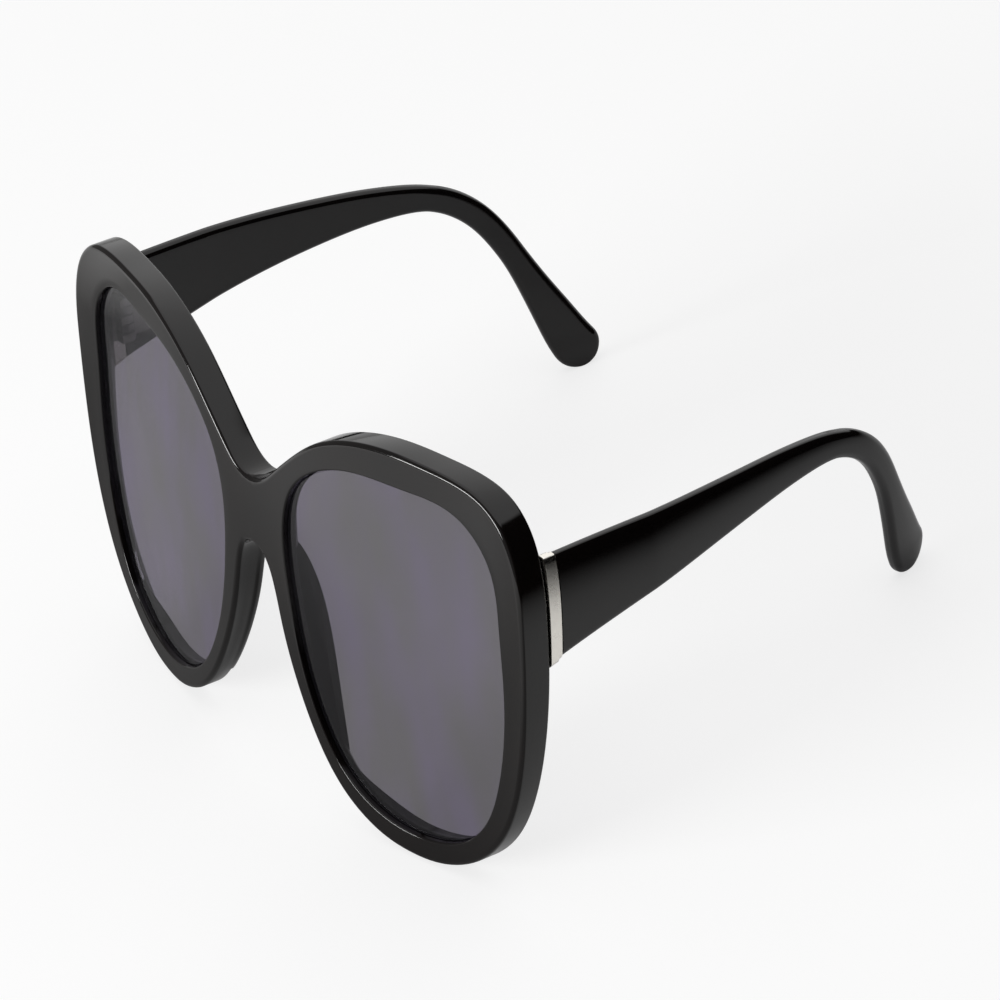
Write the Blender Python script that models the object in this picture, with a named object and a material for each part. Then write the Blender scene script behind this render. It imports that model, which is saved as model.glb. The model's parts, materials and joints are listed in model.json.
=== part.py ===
"""Reading sunglasses: a wide moulded front, two tinted lenses and two folding temples.

Everything is laid out in the front's own frame: X runs to the wearer's left, Y to the back
of the head and Z up from the bottom of the rims, with the front upright. An empty then leans
the whole pair back until rims and temple tips stand on Z = 0.
"""
import math

import bmesh
import bpy
import numpy as np
from mathutils import Matrix, Vector

MM = 0.001

# Fit between separate pieces
CLEARANCE = 0.3 * MM

# Lens openings, seen square to the front
OPENING_WIDTH = 54.0 * MM
OPENING_HEIGHT = 67.6 * MM
BRIDGE_GAP = 19.0 * MM
OPENING_SHARES = (
    (0.000, 0.645), (0.012, 0.745), (0.063, 0.842), (0.167, 0.922), (0.345, 0.982),
    (0.585, 1.000), (0.845, 0.985), (0.962, 0.893), (0.992, 0.735), (1.000, 0.540),
    (0.988, 0.400), (0.955, 0.268), (0.893, 0.143), (0.778, 0.047), (0.640, 0.005),
    (0.500, 0.000), (0.365, 0.027), (0.240, 0.092), (0.138, 0.200), (0.058, 0.352),
    (0.015, 0.515),
)

# Outer outline of the front, from the top of the bridge round the wearer's left rim
RIM_TOP = 6.5 * MM
RIM_SIDE = 6.4 * MM
RIM_BOTTOM = 4.4 * MM
OUTLINE_SHARES = (
    (0.000, 0.750), (0.055, 0.763), (0.107, 0.799), (0.205, 0.877), (0.293, 0.934),
    (0.415, 0.979), (0.544, 0.998), (0.672, 1.000), (0.794, 0.996), (0.882, 0.976),
    (0.943, 0.932), (0.979, 0.871), (0.997, 0.790), (1.000, 0.692), (0.990, 0.494),
    (0.974, 0.385), (0.941, 0.268), (0.885, 0.161), (0.806, 0.079), (0.715, 0.027),
    (0.629, 0.004), (0.555, 0.000), (0.480, 0.007), (0.408, 0.028), (0.336, 0.065),
    (0.272, 0.118), (0.205, 0.202), (0.144, 0.310), (0.103, 0.415), (0.074, 0.515),
    (0.042, 0.566), (0.000, 0.581),
)

# Wrap and depth of the front
WRAP_DEPTH = 8.1 * MM
WRAP_FLATTEN_SHARE = 1.24
FACE_BOW = 1.5 * MM
BOW_LEVEL_SHARE = 0.71
RIM_DEPTH = 4.5 * MM
HINGE_DEPTH = 5.6 * MM
THICKEN_FROM_SHARE = 0.15
THICKEN_TO_SHARE = 0.65
FRONT_EDGE_RADIUS = 1.1 * MM
REAR_EDGE_RADIUS = 0.8 * MM
OPENING_CHAMFER = 0.35 * MM
EDGE_RAMP_SHARES = (1.0, 0.45, 0.12, 0.0)

# Lens groove and lens
GROOVE_LIP = 1.3 * MM
GROOVE_WIDTH = 1.7 * MM
GROOVE_DEPTH = 1.0 * MM
LENS_THICKNESS = 1.8 * MM
LENS_DOME = 1.2 * MM
LENS_RING_SHARES = (0.3, 0.6, 0.85, 1.0)

# Nose pads
PAD_SETBACK = 1.4 * MM
PAD_SKIN = 0.5 * MM
PAD_REACH = 2.0 * MM
PAD_CREST_INSET = 4.7 * MM
PAD_CREST_WIDTH = 0.6 * MM
PAD_START_SHARE = 0.985
PAD_END_SHARE = 0.800
PAD_PEAK_SHARE = 0.40
PAD_END_HEIGHT_SHARE = 0.12
PAD_SWELL_POWER = 1.0
PAD_ROOT_SHARE = 0.1
PAD_SLOPE_SHARES = ((0.35, 0.62), (0.75, 0.94), (1.0, 1.0))
PAD_BACK_SHARE = 0.7

# Temples
TEMPLE_LENGTH = 113.5 * MM
TEMPLE_THICKNESS = 3.0 * MM
TEMPLE_LEVEL = 58.2 * MM
TEMPLE_HEIGHT = 19.4 * MM
TEMPLE_WAIST = 5.0 * MM
TEMPLE_PADDLE = 9.5 * MM
TEMPLE_CORNER = 1.2 * MM
LARGEST_CORNER_SHARE = 0.48
HEADING_PLACE_SHARES = (0.0, 0.30, 0.45, 0.54, 0.62, 0.70, 0.78, 0.86, 0.93, 1.0)
TEMPLE_HEADINGS_DEG = (-9.5, -5.0, -0.5, 8.5, 33.5, 56.0, 65.0, 66.0, 65.0, 48.0)
TOE_IN = 19.6 * MM
TOE_IN_FROM_SHARE = 0.17
TOE_IN_POWER = 1.4
TAPER_TO_SHARE = 0.57
TAPER_POWER = 1.2
PADDLE_FROM_SHARE = 0.75
SQUARE_END_SHARE = 0.30
TIP_ROUND_SHARE = 0.045

# Metal end caps between front and temples
TRIM_LENGTH = 2.2 * MM
TRIM_PROUD = 0.35 * MM
TRIM_LEDGE = 0.8 * MM
TRIM_LEDGE_PROUD = 0.15 * MM
TRIM_CHAMFER = 0.15 * MM

# Core wires inside the temples
CORE_WIDTH = 1.0 * MM
CORE_HEIGHT = 2.0 * MM
CORE_END_SHARE = 0.80
CORE_CORNER = CORE_WIDTH / 3

# Hinges
BARREL_RADIUS = 1.5 * MM
HINGE_HEIGHT = 9.0 * MM
KNUCKLE_COUNT = 5
LEAF_THICKNESS = 1.0 * MM
ANCHOR_DEPTH = 3.0 * MM
TEMPLE_LEAF_LENGTH = 6.5 * MM
KNUCKLE_CLEARANCE = 0.45 * MM
KNUCKLE_PITCH = HINGE_HEIGHT / KNUCKLE_COUNT
SCREW_RADIUS = 0.6 * MM
SCREW_HEAD_RADIUS = 1.2 * MM
SCREW_HEAD_HEIGHT = 0.7 * MM
SCREW_SLOT_WIDTH = 0.35 * MM
RIVET_RADIUS = 0.5 * MM
RIVET_HEAD_RADIUS = 1.0 * MM
RIVET_HEAD_HEIGHT = 0.4 * MM
RIVET_DEPTH = 1.4 * MM
RIVET_SPACING = 5.2 * MM

# Flats where the pair stands, and the overrun of every cut
STANDING_FLAT = 0.25 * MM
OVERRUN = 1.0 * MM

# Colours and finishes
BLACK_PLASTIC = (0.012, 0.012, 0.014)
PLASTIC_ROUGHNESS = 0.12
LENS_TINT = (0.055, 0.052, 0.060)
LENS_ROUGHNESS = 0.04
LENS_ALPHA = 0.72
SILVER = (0.80, 0.78, 0.75)
SILVER_ROUGHNESS = 0.18
STEEL = (0.56, 0.55, 0.54)
STEEL_ROUGHNESS = 0.30

# The wearer's left and right
SIDES = ((1, "left"), (-1, "right"))

# Mesh fineness
MERGE_DISTANCE = 0.01 * MM
SHARP_ANGLE_DEG = 35.0
FRONT_ROWS = 7
OUTLINE_STATIONS = 60
BRIDGE_STATIONS = 8
LENS_STATIONS = 60
PAD_STATIONS = 11
TEMPLE_STATIONS = 32
CORE_STATIONS = 18
TIP_STATIONS = 5
CORNER_POINTS = 4
ROUND_POINTS = 24
OPENING_SAMPLES = 720
OUTLINE_SAMPLES = 1440
TEMPLE_SAMPLES = 800
LEAN_HALVINGS = 48

HALF_WIDTH = BRIDGE_GAP / 2 + OPENING_WIDTH + RIM_SIDE
FRONT_HEIGHT = RIM_BOTTOM + OPENING_HEIGHT + RIM_TOP
GROOVE_MIDDLE = GROOVE_LIP + GROOVE_WIDTH / 2

# Places along X and Y that several pieces share
TEMPLE_OUTER_X = HALF_WIDTH
TEMPLE_INNER_X = TEMPLE_OUTER_X - TEMPLE_THICKNESS
TEMPLE_MIDDLE_X = TEMPLE_OUTER_X - TEMPLE_THICKNESS / 2
FRONT_REAR_Y = WRAP_DEPTH + HINGE_DEPTH
TRIM_START_Y = FRONT_REAR_Y + CLEARANCE
TEMPLE_START_Y = TRIM_START_Y + TRIM_LENGTH + CLEARANCE
HINGE_X = TEMPLE_INNER_X - CLEARANCE - BARREL_RADIUS
HINGE_Y = FRONT_REAR_Y + 2 * CLEARANCE + BARREL_RADIUS
LEAF_OUTER_X = TEMPLE_INNER_X - CLEARANCE
LEAF_INNER_X = LEAF_OUTER_X - LEAF_THICKNESS
TEMPLE_LEAF_START_Y = HINGE_Y + BARREL_RADIUS + KNUCKLE_CLEARANCE
TEMPLE_LEAF_END_Y = TEMPLE_LEAF_START_Y + TEMPLE_LEAF_LENGTH
HINGE_BOTTOM = TEMPLE_LEVEL - HINGE_HEIGHT / 2
HINGE_TOP = TEMPLE_LEVEL + HINGE_HEIGHT / 2
RIVET_Y = (TEMPLE_LEAF_START_Y + TEMPLE_LEAF_END_Y) / 2


def smoothstep(value):
    """Rise from 0 to 1 with level ends, held outside that range."""
    held = np.clip(value, 0.0, 1.0)
    return held * held * (3.0 - 2.0 * held)


def closed_spline(points):
    """Return a closed curve through the points, with continuous curvature, for t from 0 to 1."""
    knots = np.asarray(points, float)
    count = len(knots)
    before = np.roll(knots, 1, axis=0)
    after = np.roll(knots, -1, axis=0)
    ahead = np.linalg.norm(after - knots, axis=1)
    behind = np.roll(ahead, 1)
    rows = np.arange(count)
    system = np.zeros((count, count))
    system[rows, rows - 1] = ahead
    system[rows, rows] = 2.0 * (behind + ahead)
    system[rows, (rows + 1) % count] = behind
    rates = (knots - before) * (ahead / behind)[:, None] + (after - knots) * (behind / ahead)[:, None]
    slopes = np.linalg.solve(system, 3.0 * rates)
    lengths = np.concatenate(([0.0], np.cumsum(ahead)))

    def curve(t):
        distance = np.mod(t, 1.0) * lengths[-1]
        index = np.clip(np.searchsorted(lengths, distance, side="right") - 1, 0, count - 1)
        span = ahead[index][:, None]
        u = ((distance - lengths[index]) / ahead[index])[:, None]
        start = (1.0 + 2.0 * u) * (1.0 - u) ** 2 * knots[index]
        end = u ** 2 * (3.0 - 2.0 * u) * after[index]
        start_slope = u * (1.0 - u) ** 2 * span * slopes[index]
        end_slope = u ** 2 * (u - 1.0) * span * slopes[(index + 1) % count]
        return start + end + start_slope + end_slope

    return curve


def outline_curve():
    """Return the closed outer outline of the whole front; t from 0 to 0.5 is its left half."""
    half = np.array(OUTLINE_SHARES) * (HALF_WIDTH, FRONT_HEIGHT)
    mirrored = half[-2:0:-1] * (-1.0, 1.0)
    return closed_spline(np.vstack((half, mirrored)))


def opening_curve():
    """Return the closed outline of the left lens opening."""
    shares = np.array(OPENING_SHARES)
    return closed_spline(shares * (OPENING_WIDTH, OPENING_HEIGHT) + (BRIDGE_GAP / 2, RIM_BOTTOM))


def opening_toward(points):
    """Return where rays from the middle of the opening to the points cross its edge."""
    edge = opening_curve()(np.arange(OPENING_SAMPLES) / OPENING_SAMPLES)
    middle = edge.mean(axis=0)
    arms = edge - middle
    angles = np.arctan2(arms[:, 1], arms[:, 0])
    order = np.argsort(angles)
    wanted = np.arctan2(points[:, 1] - middle[1], points[:, 0] - middle[0])
    reach = np.interp(wanted, angles[order], np.hypot(arms[:, 0], arms[:, 1])[order], period=2 * np.pi)
    return middle + reach[:, None] * np.column_stack((np.cos(wanted), np.sin(wanted)))


def outward_normals(loop):
    """Return unit normals of a closed convex loop, pointing away from its middle."""
    along = np.roll(loop, -1, axis=0) - np.roll(loop, 1, axis=0)
    normals = np.column_stack((along[:, 1], -along[:, 0]))
    normals /= np.linalg.norm(normals, axis=1)[:, None]
    side = np.sum(normals * (loop - loop.mean(axis=0)), axis=1)
    return normals * np.sign(side)[:, None]


def wrap(plan):
    """Depth of the front face behind the bridge at points of its plan (x, z).

    It sweeps back and flattens towards the temples, and bows forward below the bridge.
    """
    aside = plan[..., 0] / HALF_WIDTH
    below = plan[..., 1] / (BOW_LEVEL_SHARE * FRONT_HEIGHT) - 1.0
    sweep_back = (1.0 + WRAP_FLATTEN_SHARE) * aside ** 2 - WRAP_FLATTEN_SHARE * aside ** 4
    return WRAP_DEPTH * sweep_back - FACE_BOW * below ** 2


def rim_depth(plan):
    """Front-to-back depth of the front, which grows from the rim bottoms to the bridge and hinges."""
    height_share = plan[..., 1] / FRONT_HEIGHT
    rise = (height_share - THICKEN_FROM_SHARE) / (THICKEN_TO_SHARE - THICKEN_FROM_SHARE)
    return RIM_DEPTH + (HINGE_DEPTH - RIM_DEPTH) * smoothstep(rise)


def distance_to_outline(points):
    """Return each point's distance to the outer outline."""
    edge = outline_curve()(np.arange(OUTLINE_SAMPLES) / OUTLINE_SAMPLES)
    nearest = [np.hypot(*(edge - point).T).min() for point in points.reshape(-1, 2)]
    return np.array(nearest).reshape(points.shape[:-1])


def edge_drop(distance, radius):
    """Height lost on a quarter round of the radius, at a distance in from the edge."""
    inside = np.clip(radius - distance, 0.0, radius)
    return radius - np.sqrt(radius ** 2 - inside ** 2)


def from_plan(plan, depth):
    """Put points of the front's plan (x, z) at their depth behind the bridge."""
    return np.stack((plan[..., 0], depth, plan[..., 1]), axis=-1)


def loop_faces(rings, ring_points, closed_rings, skipped=()):
    """Return quads between successive rings of points, each ring closed on itself."""
    faces = []
    last = rings if closed_rings else rings - 1
    for i in range(last):
        below = i * ring_points
        above = (i + 1) % rings * ring_points
        for j in range(ring_points):
            k = (j + 1) % ring_points
            if (i, j) not in skipped:
                faces.append((below + j, below + k, above + k, above + j))
    return faces


def half_front_rings():
    """Return the left half of the front as rings of points round the rim's section.

    Each ring runs from the lens opening over the front face to the outline, down the outer
    wall, back over the rear face and down the opening's wall with its lens groove.
    """
    outer = outline_curve()(np.linspace(0.0, 0.5, OUTLINE_STATIONS + 1))
    outer[[0, -1], 0] = 0.0
    turn = np.cos(np.pi * np.arange(1, BRIDGE_STATIONS) / BRIDGE_STATIONS)
    low, high = outer[-1, 1], outer[0, 1]
    middle_z = (low + high) / 2 - turn * (high - low) / 2
    bridge = np.column_stack((np.zeros_like(middle_z), middle_z))
    outer = np.vstack((outer, bridge))
    inner = opening_toward(outer)
    reach = np.linalg.norm(outer - inner, axis=1)

    def across(share):
        return inner + (outer - inner) * np.clip(share, 0.0, 1.0)[:, None]

    def face_rows(radius):
        chamfer = across(OPENING_CHAMFER / reach)
        rows = [inner, chamfer, (inner + outer) / 2]
        rows += [across(1.0 - radius * share / reach) for share in EDGE_RAMP_SHARES]
        plan = np.stack(rows, axis=1)
        distance = distance_to_outline(plan)
        distance[:OUTLINE_STATIONS + 1, -1] = 0.0
        drop = edge_drop(distance, radius)
        drop[:, 0] += OPENING_CHAMFER
        return plan, drop

    plan, drop = face_rows(FRONT_EDGE_RADIUS)
    front = from_plan(plan, wrap(plan) + drop)
    plan, drop = face_rows(REAR_EDGE_RADIUS)
    rear = from_plan(plan, wrap(plan) + rim_depth(plan) - drop)

    bottom = inner + outward_normals(inner) * GROOVE_DEPTH
    groove = [
        from_plan(inner, wrap(inner) + GROOVE_LIP + GROOVE_WIDTH),
        from_plan(bottom, wrap(bottom) + GROOVE_MIDDLE),
        from_plan(inner, wrap(inner) + GROOVE_LIP),
    ]
    return np.concatenate((front, rear[:, ::-1], np.stack(groove, axis=1)), axis=1)


def lens_rings():
    """Return the middle points of the lens faces, and the rings between them."""
    edge = opening_curve()(np.arange(LENS_STATIONS) / LENS_STATIONS)
    middle = edge.mean(axis=0)
    outward = outward_normals(edge)
    half_groove = GROOVE_WIDTH / 2
    slip = CLEARANCE * math.hypot(GROOVE_DEPTH, half_groove) / half_groove
    body = edge - outward * CLEARANCE
    bevel = edge + outward * (GROOVE_DEPTH - slip)
    bevel_half = half_groove * (1.0 - (slip - CLEARANCE) / GROOVE_DEPTH)
    front = GROOVE_MIDDLE - LENS_THICKNESS / 2
    rear = GROOVE_MIDDLE + LENS_THICKNESS / 2

    def ring(share, depth):
        plan = middle + (body - middle) * share
        return from_plan(plan, wrap(plan) + depth - LENS_DOME * (1.0 - share ** 2))

    rings = [ring(share, front) for share in LENS_RING_SHARES]
    rings.append(ring(1.0, GROOVE_MIDDLE - bevel_half))
    rings.append(from_plan(bevel, wrap(bevel) + GROOVE_MIDDLE))
    rings.append(ring(1.0, GROOVE_MIDDLE + bevel_half))
    rings += [ring(share, rear) for share in reversed(LENS_RING_SHARES)]
    poles = [(middle[0], wrap(middle) + depth - LENS_DOME, middle[1]) for depth in (front, rear)]
    return np.array(poles), np.array(rings)


def pad_rings():
    """Return the rings of the left nose pad.

    It lines the nose side of the rim, then slopes out behind it to a crest near the lens.
    """
    share = (1.0 - np.cos(np.pi * np.arange(PAD_STATIONS) / (PAD_STATIONS - 1))) / 2
    t = PAD_START_SHARE + (PAD_END_SHARE - PAD_START_SHARE) * share
    curve = outline_curve()
    plan = curve(t / 2)
    step = 1.0 / OUTLINE_STATIONS ** 2
    along = curve(t / 2 + step) - curve(t / 2 - step)
    normal = np.column_stack((-along[:, 1], along[:, 0]))
    normal /= np.linalg.norm(normal, axis=1)[:, None]
    skewed = share ** (math.log(0.5) / math.log(PAD_PEAK_SHARE))
    bulge = np.sin(np.pi * skewed) ** PAD_SWELL_POWER
    swell = PAD_END_HEIGHT_SHARE + (1.0 - PAD_END_HEIGHT_SHARE) * bulge
    reach = PAD_REACH * swell
    crest = PAD_CREST_INSET * np.sqrt(swell)
    seat = np.full_like(share, CLEARANCE)
    skin = seat + PAD_SKIN * np.sqrt(swell)
    setback = np.full_like(share, PAD_SETBACK)
    back_edge = -crest - PAD_CREST_WIDTH * swell
    before_rear = (
        (seat, setback),
        ((seat + skin) / 2, setback),
        (skin, setback + skin - seat),
    )
    behind_rear = (
        (skin, seat + PAD_ROOT_SHARE * reach),
        *((-inset * crest, seat + height * reach) for inset, height in PAD_SLOPE_SHARES),
        (back_edge, seat + PAD_BACK_SHARE * reach),
        (back_edge, seat),
        (-crest / 2, seat),
        (seat, seat),
    )
    rows = []
    for aside, back in before_rear:
        point = plan + normal * aside[:, None]
        rows.append(from_plan(point, wrap(point) + back))
    for aside, back in behind_rear:
        point = plan + normal * aside[:, None]
        rows.append(from_plan(point, wrap(point) + rim_depth(point) + back))
    return np.stack(rows, axis=1)


def smooth_through(places, values):
    """Return a smooth curve through values at places."""
    places = np.array(places)
    values = np.array(values)
    slopes = np.gradient(values, places)

    def curve(at):
        index = np.clip(np.searchsorted(places, at, side="right") - 1, 0, len(places) - 2)
        span = places[index + 1] - places[index]
        u = (np.clip(at, 0.0, 1.0) - places[index]) / span
        start = (1.0 + 2.0 * u) * (1.0 - u) ** 2 * values[index]
        end = u ** 2 * (3.0 - 2.0 * u) * values[index + 1]
        rise = span * u * (1.0 - u) * ((1.0 - u) * slopes[index] - u * slopes[index + 1])
        return start + end + rise

    return curve


def temple_heading(share):
    """Downward angle of the temple, in radians: a slight rise, then the bend over the ear."""
    return np.radians(smooth_through(HEADING_PLACE_SHARES, TEMPLE_HEADINGS_DEG)(share))


def temple_toe_in(share):
    """Distance by which the temple has closed in towards the head."""
    run = np.clip((share - TOE_IN_FROM_SHARE) / (1.0 - TOE_IN_FROM_SHARE), 0.0, 1.0)
    return TOE_IN * run ** TOE_IN_POWER


def temple_height(share):
    """Height of the temple across its run: a long taper, the waist, then the paddle."""
    taper = np.clip(1.0 - share / TAPER_TO_SHARE, 0.0, 1.0) ** TAPER_POWER
    paddle = smoothstep((share - PADDLE_FROM_SHARE) / (1.0 - PADDLE_FROM_SHARE))
    front_part = (TEMPLE_HEIGHT - TEMPLE_WAIST) * taper
    return TEMPLE_WAIST + front_part + (TEMPLE_PADDLE - TEMPLE_WAIST) * paddle


def temple_frames(share):
    """Return centres, outward side vectors and upward vectors along the left temple."""
    fine = np.arange(TEMPLE_SAMPLES + 1) / TEMPLE_SAMPLES
    step = TEMPLE_LENGTH / TEMPLE_SAMPLES
    heading = temple_heading(fine)
    inward = np.gradient(temple_toe_in(fine), step)
    forward = np.sqrt(1.0 - inward ** 2)
    rates = np.column_stack((np.cos(heading) * forward, -np.sin(heading) * forward))
    run = np.vstack((np.zeros(2), np.cumsum((rates[1:] + rates[:-1]) / 2 * step, axis=0)))
    centres = np.column_stack((
        TEMPLE_MIDDLE_X - temple_toe_in(share),
        TEMPLE_START_Y + np.interp(share, fine, run[:, 0]),
        TEMPLE_LEVEL + np.interp(share, fine, run[:, 1]),
    ))
    square = smoothstep(share / SQUARE_END_SHARE)
    pitch = temple_heading(share) * square
    yaw = np.arcsin(np.interp(share, fine, inward)) * square
    tangents = np.column_stack((
        -np.sin(yaw) * np.cos(pitch), np.cos(yaw) * np.cos(pitch), -np.sin(pitch)))
    sides = np.column_stack((np.cos(yaw), np.sin(yaw), np.zeros_like(yaw)))
    return centres, sides, np.cross(sides, tangents)


def rounded_section(width, height, corner):
    """Return the points of a rounded rectangle for each width and height."""
    radius = np.minimum(corner, LARGEST_CORNER_SHARE * np.minimum(width, height))
    angles = np.pi / 2 * np.arange(CORNER_POINTS) / (CORNER_POINTS - 1)
    points = []
    for quarter, (a, b) in enumerate(((1, 1), (-1, 1), (-1, -1), (1, -1))):
        for angle in angles + quarter * np.pi / 2:
            points.append(np.column_stack((
                a * (width / 2 - radius) + radius * math.cos(angle),
                b * (height / 2 - radius) + radius * math.sin(angle))))
    return np.stack(points, axis=1)


def sweep(frames, section):
    """Place each station's section on its frame."""
    centres, sides, ups = frames
    return (centres[:, None] + sides[:, None] * section[..., :1] + ups[:, None] * section[..., 1:])


def core_channel(share, allowance):
    """Return the rings of the core wire, or with an allowance those of its channel."""
    width = np.full_like(share, CORE_WIDTH + 2 * allowance)
    height = np.full_like(share, CORE_HEIGHT + 2 * allowance)
    return sweep(temple_frames(share), rounded_section(width, height, CORE_CORNER))


def straight_ring(y, width, height, corner, shift_x=0.0, shift_z=0.0):
    """Return one ring square to Y, in line with the temple's front end."""
    section = rounded_section(np.array([width]), np.array([height]), corner)[0]
    x = TEMPLE_MIDDLE_X + shift_x + section[:, 0]
    z = TEMPLE_LEVEL + shift_z + section[:, 1]
    return np.column_stack((x, np.full_like(x, y), z))


def temple_rings():
    """Return the left temple's rings from its round tip to its front end, then down the channel."""
    straight = (1.0 - TIP_ROUND_SHARE) * np.arange(TEMPLE_STATIONS) / TEMPLE_STATIONS
    turn = np.pi / 2 * np.arange(TIP_STATIONS) / TIP_STATIONS
    share = np.concatenate((straight, 1.0 - TIP_ROUND_SHARE * (1.0 - np.sin(turn))))
    end = np.concatenate((np.ones(TEMPLE_STATIONS), np.cos(turn)))
    height = temple_height(share) * end
    width = TEMPLE_THICKNESS * np.sqrt(end)
    skin = sweep(temple_frames(share), rounded_section(width, height, TEMPLE_CORNER))
    depth_share = CORE_END_SHARE + CLEARANCE / TEMPLE_LENGTH
    channel = core_channel(depth_share * np.arange(CORE_STATIONS) / (CORE_STATIONS - 1), CLEARANCE)
    return np.concatenate((skin[::-1], channel))


def core_rings():
    """Return the rings of the left core wire, from the end cap into the temple."""
    share = CORE_END_SHARE * np.arange(CORE_STATIONS) / (CORE_STATIONS - 1)
    wire = core_channel(share, 0.0)
    front = straight_ring(TRIM_START_Y, CORE_WIDTH, CORE_HEIGHT, CORE_CORNER)
    return np.concatenate((front[None], wire))


def trim_rings():
    """Return the rings of the left end cap: its stepped outside, then the core's window."""
    step_y = TRIM_START_Y + TRIM_LENGTH - TRIM_LEDGE
    end_y = TRIM_START_Y + TRIM_LENGTH
    stations = (
        (TRIM_START_Y, TRIM_PROUD - TRIM_CHAMFER),
        (TRIM_START_Y + TRIM_CHAMFER, TRIM_PROUD),
        (step_y - TRIM_CHAMFER, TRIM_PROUD),
        (step_y, TRIM_LEDGE_PROUD),
        (end_y, TRIM_LEDGE_PROUD),
    )
    probe = SQUARE_END_SHARE / TEMPLE_STATIONS
    growth = (temple_height(0.0) - temple_height(probe)) / (probe * TEMPLE_LENGTH)
    sink = math.tan(-temple_heading(0.0))
    rings = []
    for y, proud in stations:
        ahead = TEMPLE_START_Y - y
        width = TEMPLE_THICKNESS + proud
        height = TEMPLE_HEIGHT + growth * ahead + 2 * proud
        rings.append(straight_ring(y, width, height, TEMPLE_CORNER, proud / 2, -sink * ahead))
    window = [straight_ring(y, CORE_WIDTH + 2 * CLEARANCE, CORE_HEIGHT + 2 * CLEARANCE, CORE_CORNER)
              for y in (end_y, TRIM_START_Y)]
    return np.array(rings + window)


def standing_pose(front, temple):
    """Return the lean and the shift that stand rims and temple tips on Z = 0."""
    def lowest(points, lean):
        return (points[:, 2] * math.cos(lean) - points[:, 1] * math.sin(lean)).min()

    low, high = 0.0, math.pi / 4
    for _ in range(LEAN_HALVINGS):
        lean = (low + high) / 2
        if lowest(temple, lean) > lowest(front, lean):
            low = lean
        else:
            high = lean
    turn = Matrix.Rotation(-lean, 3, "X")
    turned = np.vstack((front, temple)) @ np.array(turn).T
    middle_y = (turned[:, 1].min() + turned[:, 1].max()) / 2
    return lean, Vector((0.0, -middle_y, -turned[:, 2].min() - STANDING_FLAT))


def mesh_object(name, points, faces, side=1, parent=None):
    """Make a solid from points in the front's frame, mirrored to the right when side is -1.

    A piece of a temple is placed from the pivot that carries it.
    """
    placed = np.asarray(points, float).reshape(-1, 3) * (side, 1.0, 1.0)
    if parent is not None and parent.parent is not None:
        placed = placed - np.array(parent.location)
    bm = bmesh.new()
    verts = [bm.verts.new(point) for point in placed]
    for face in faces:
        bm.faces.new([verts[index] for index in face])
    bmesh.ops.recalc_face_normals(bm, faces=bm.faces)
    mesh = bpy.data.meshes.new(name)
    bm.to_mesh(mesh)
    bm.free()
    mesh.shade_smooth()
    mesh.set_sharp_from_angle(angle=math.radians(SHARP_ANGLE_DEG))
    made = bpy.data.objects.new(name, mesh)
    made.parent = parent
    bpy.context.scene.collection.objects.link(made)
    return made


def lofted(name, rings, side=1, parent=None, closed_rings=False):
    """Make a solid through successive rings, capped at both ends unless it closes on itself."""
    count, ring_points = rings.shape[:2]
    faces = loop_faces(count, ring_points, closed_rings)
    if not closed_rings:
        faces.append(tuple(range(ring_points)))
        faces.append(tuple(range((count - 1) * ring_points, count * ring_points)))
    return mesh_object(name, rings, faces, side, parent)


def prism_rings(outline, low, high):
    """Return the two end rings of an outline in X and Y that rises from low to high."""
    outline = np.asarray(outline, float)
    return np.stack([np.column_stack((outline, np.full(len(outline), level))) for level in (low, high)])


def box_rings(x_range, y_range, z_range):
    """Return the two end rings of a box."""
    corners = [(x_range[0], y_range[0]), (x_range[1], y_range[0]),
               (x_range[1], y_range[1]), (x_range[0], y_range[1])]
    return prism_rings(corners, *z_range)


def turned_rings(profile, centre, along_x=False):
    """Return the rings of a turned piece: radii and places along Z, or along X, from its centre."""
    angles = 2 * np.pi * np.arange(ROUND_POINTS) / ROUND_POINTS
    rings = []
    for radius, place in profile:
        first = radius * np.cos(angles)
        second = radius * np.sin(angles)
        along = np.full(ROUND_POINTS, place)
        parts = (along, first, second) if along_x else (first, second, along)
        rings.append(np.column_stack(parts) + centre)
    return np.array(rings)


def several(rings_of_pieces):
    """Return the points and faces of several closed lofts that share one object."""
    points = []
    faces = []
    for rings in rings_of_pieces:
        count, ring_points = rings.shape[:2]
        start = len(points)
        own = loop_faces(count, ring_points, False)
        own.append(tuple(range(ring_points)))
        own.append(tuple(range((count - 1) * ring_points, count * ring_points)))
        faces += [tuple(start + index for index in face) for face in own]
        points += list(rings.reshape(-1, 3))
    return np.array(points), faces


def cut(target, name, rings_of_pieces, side=1):
    """Cut the given shapes out of an object with a hidden cutter beside it."""
    cutter = mesh_object(name, *several(rings_of_pieces), side, target.parent)
    cut_with(target, cutter)


def cut_with(target, cutter):
    """Cut an existing cutter out of an object."""
    cutter.hide_render = True
    cutter.display_type = "WIRE"
    modifier = target.modifiers.new(cutter.name, "BOOLEAN")
    modifier.operation = "DIFFERENCE"
    modifier.solver = "EXACT"
    modifier.object = cutter


def give_material(target, colour, roughness, metallic=0.0, alpha=1.0):
    """Give an object its own Principled material."""
    made = bpy.data.materials.new(target.name)
    made.use_nodes = True
    shader = made.node_tree.nodes["Principled BSDF"]
    shader.inputs["Base Color"].default_value = (*colour, 1.0)
    shader.inputs["Roughness"].default_value = roughness
    shader.inputs["Metallic"].default_value = metallic
    shader.inputs["Alpha"].default_value = alpha
    target.data.materials.append(made)


def anchor_slot():
    """Return the slot in the front, behind the lens, that takes a hinge's anchor."""
    return box_rings((LEAF_INNER_X - CLEARANCE, LEAF_OUTER_X + CLEARANCE),
                     (FRONT_REAR_Y - ANCHOR_DEPTH - CLEARANCE, FRONT_REAR_Y + OVERRUN),
                     (HINGE_BOTTOM - CLEARANCE, HINGE_TOP + CLEARANCE))


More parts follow.
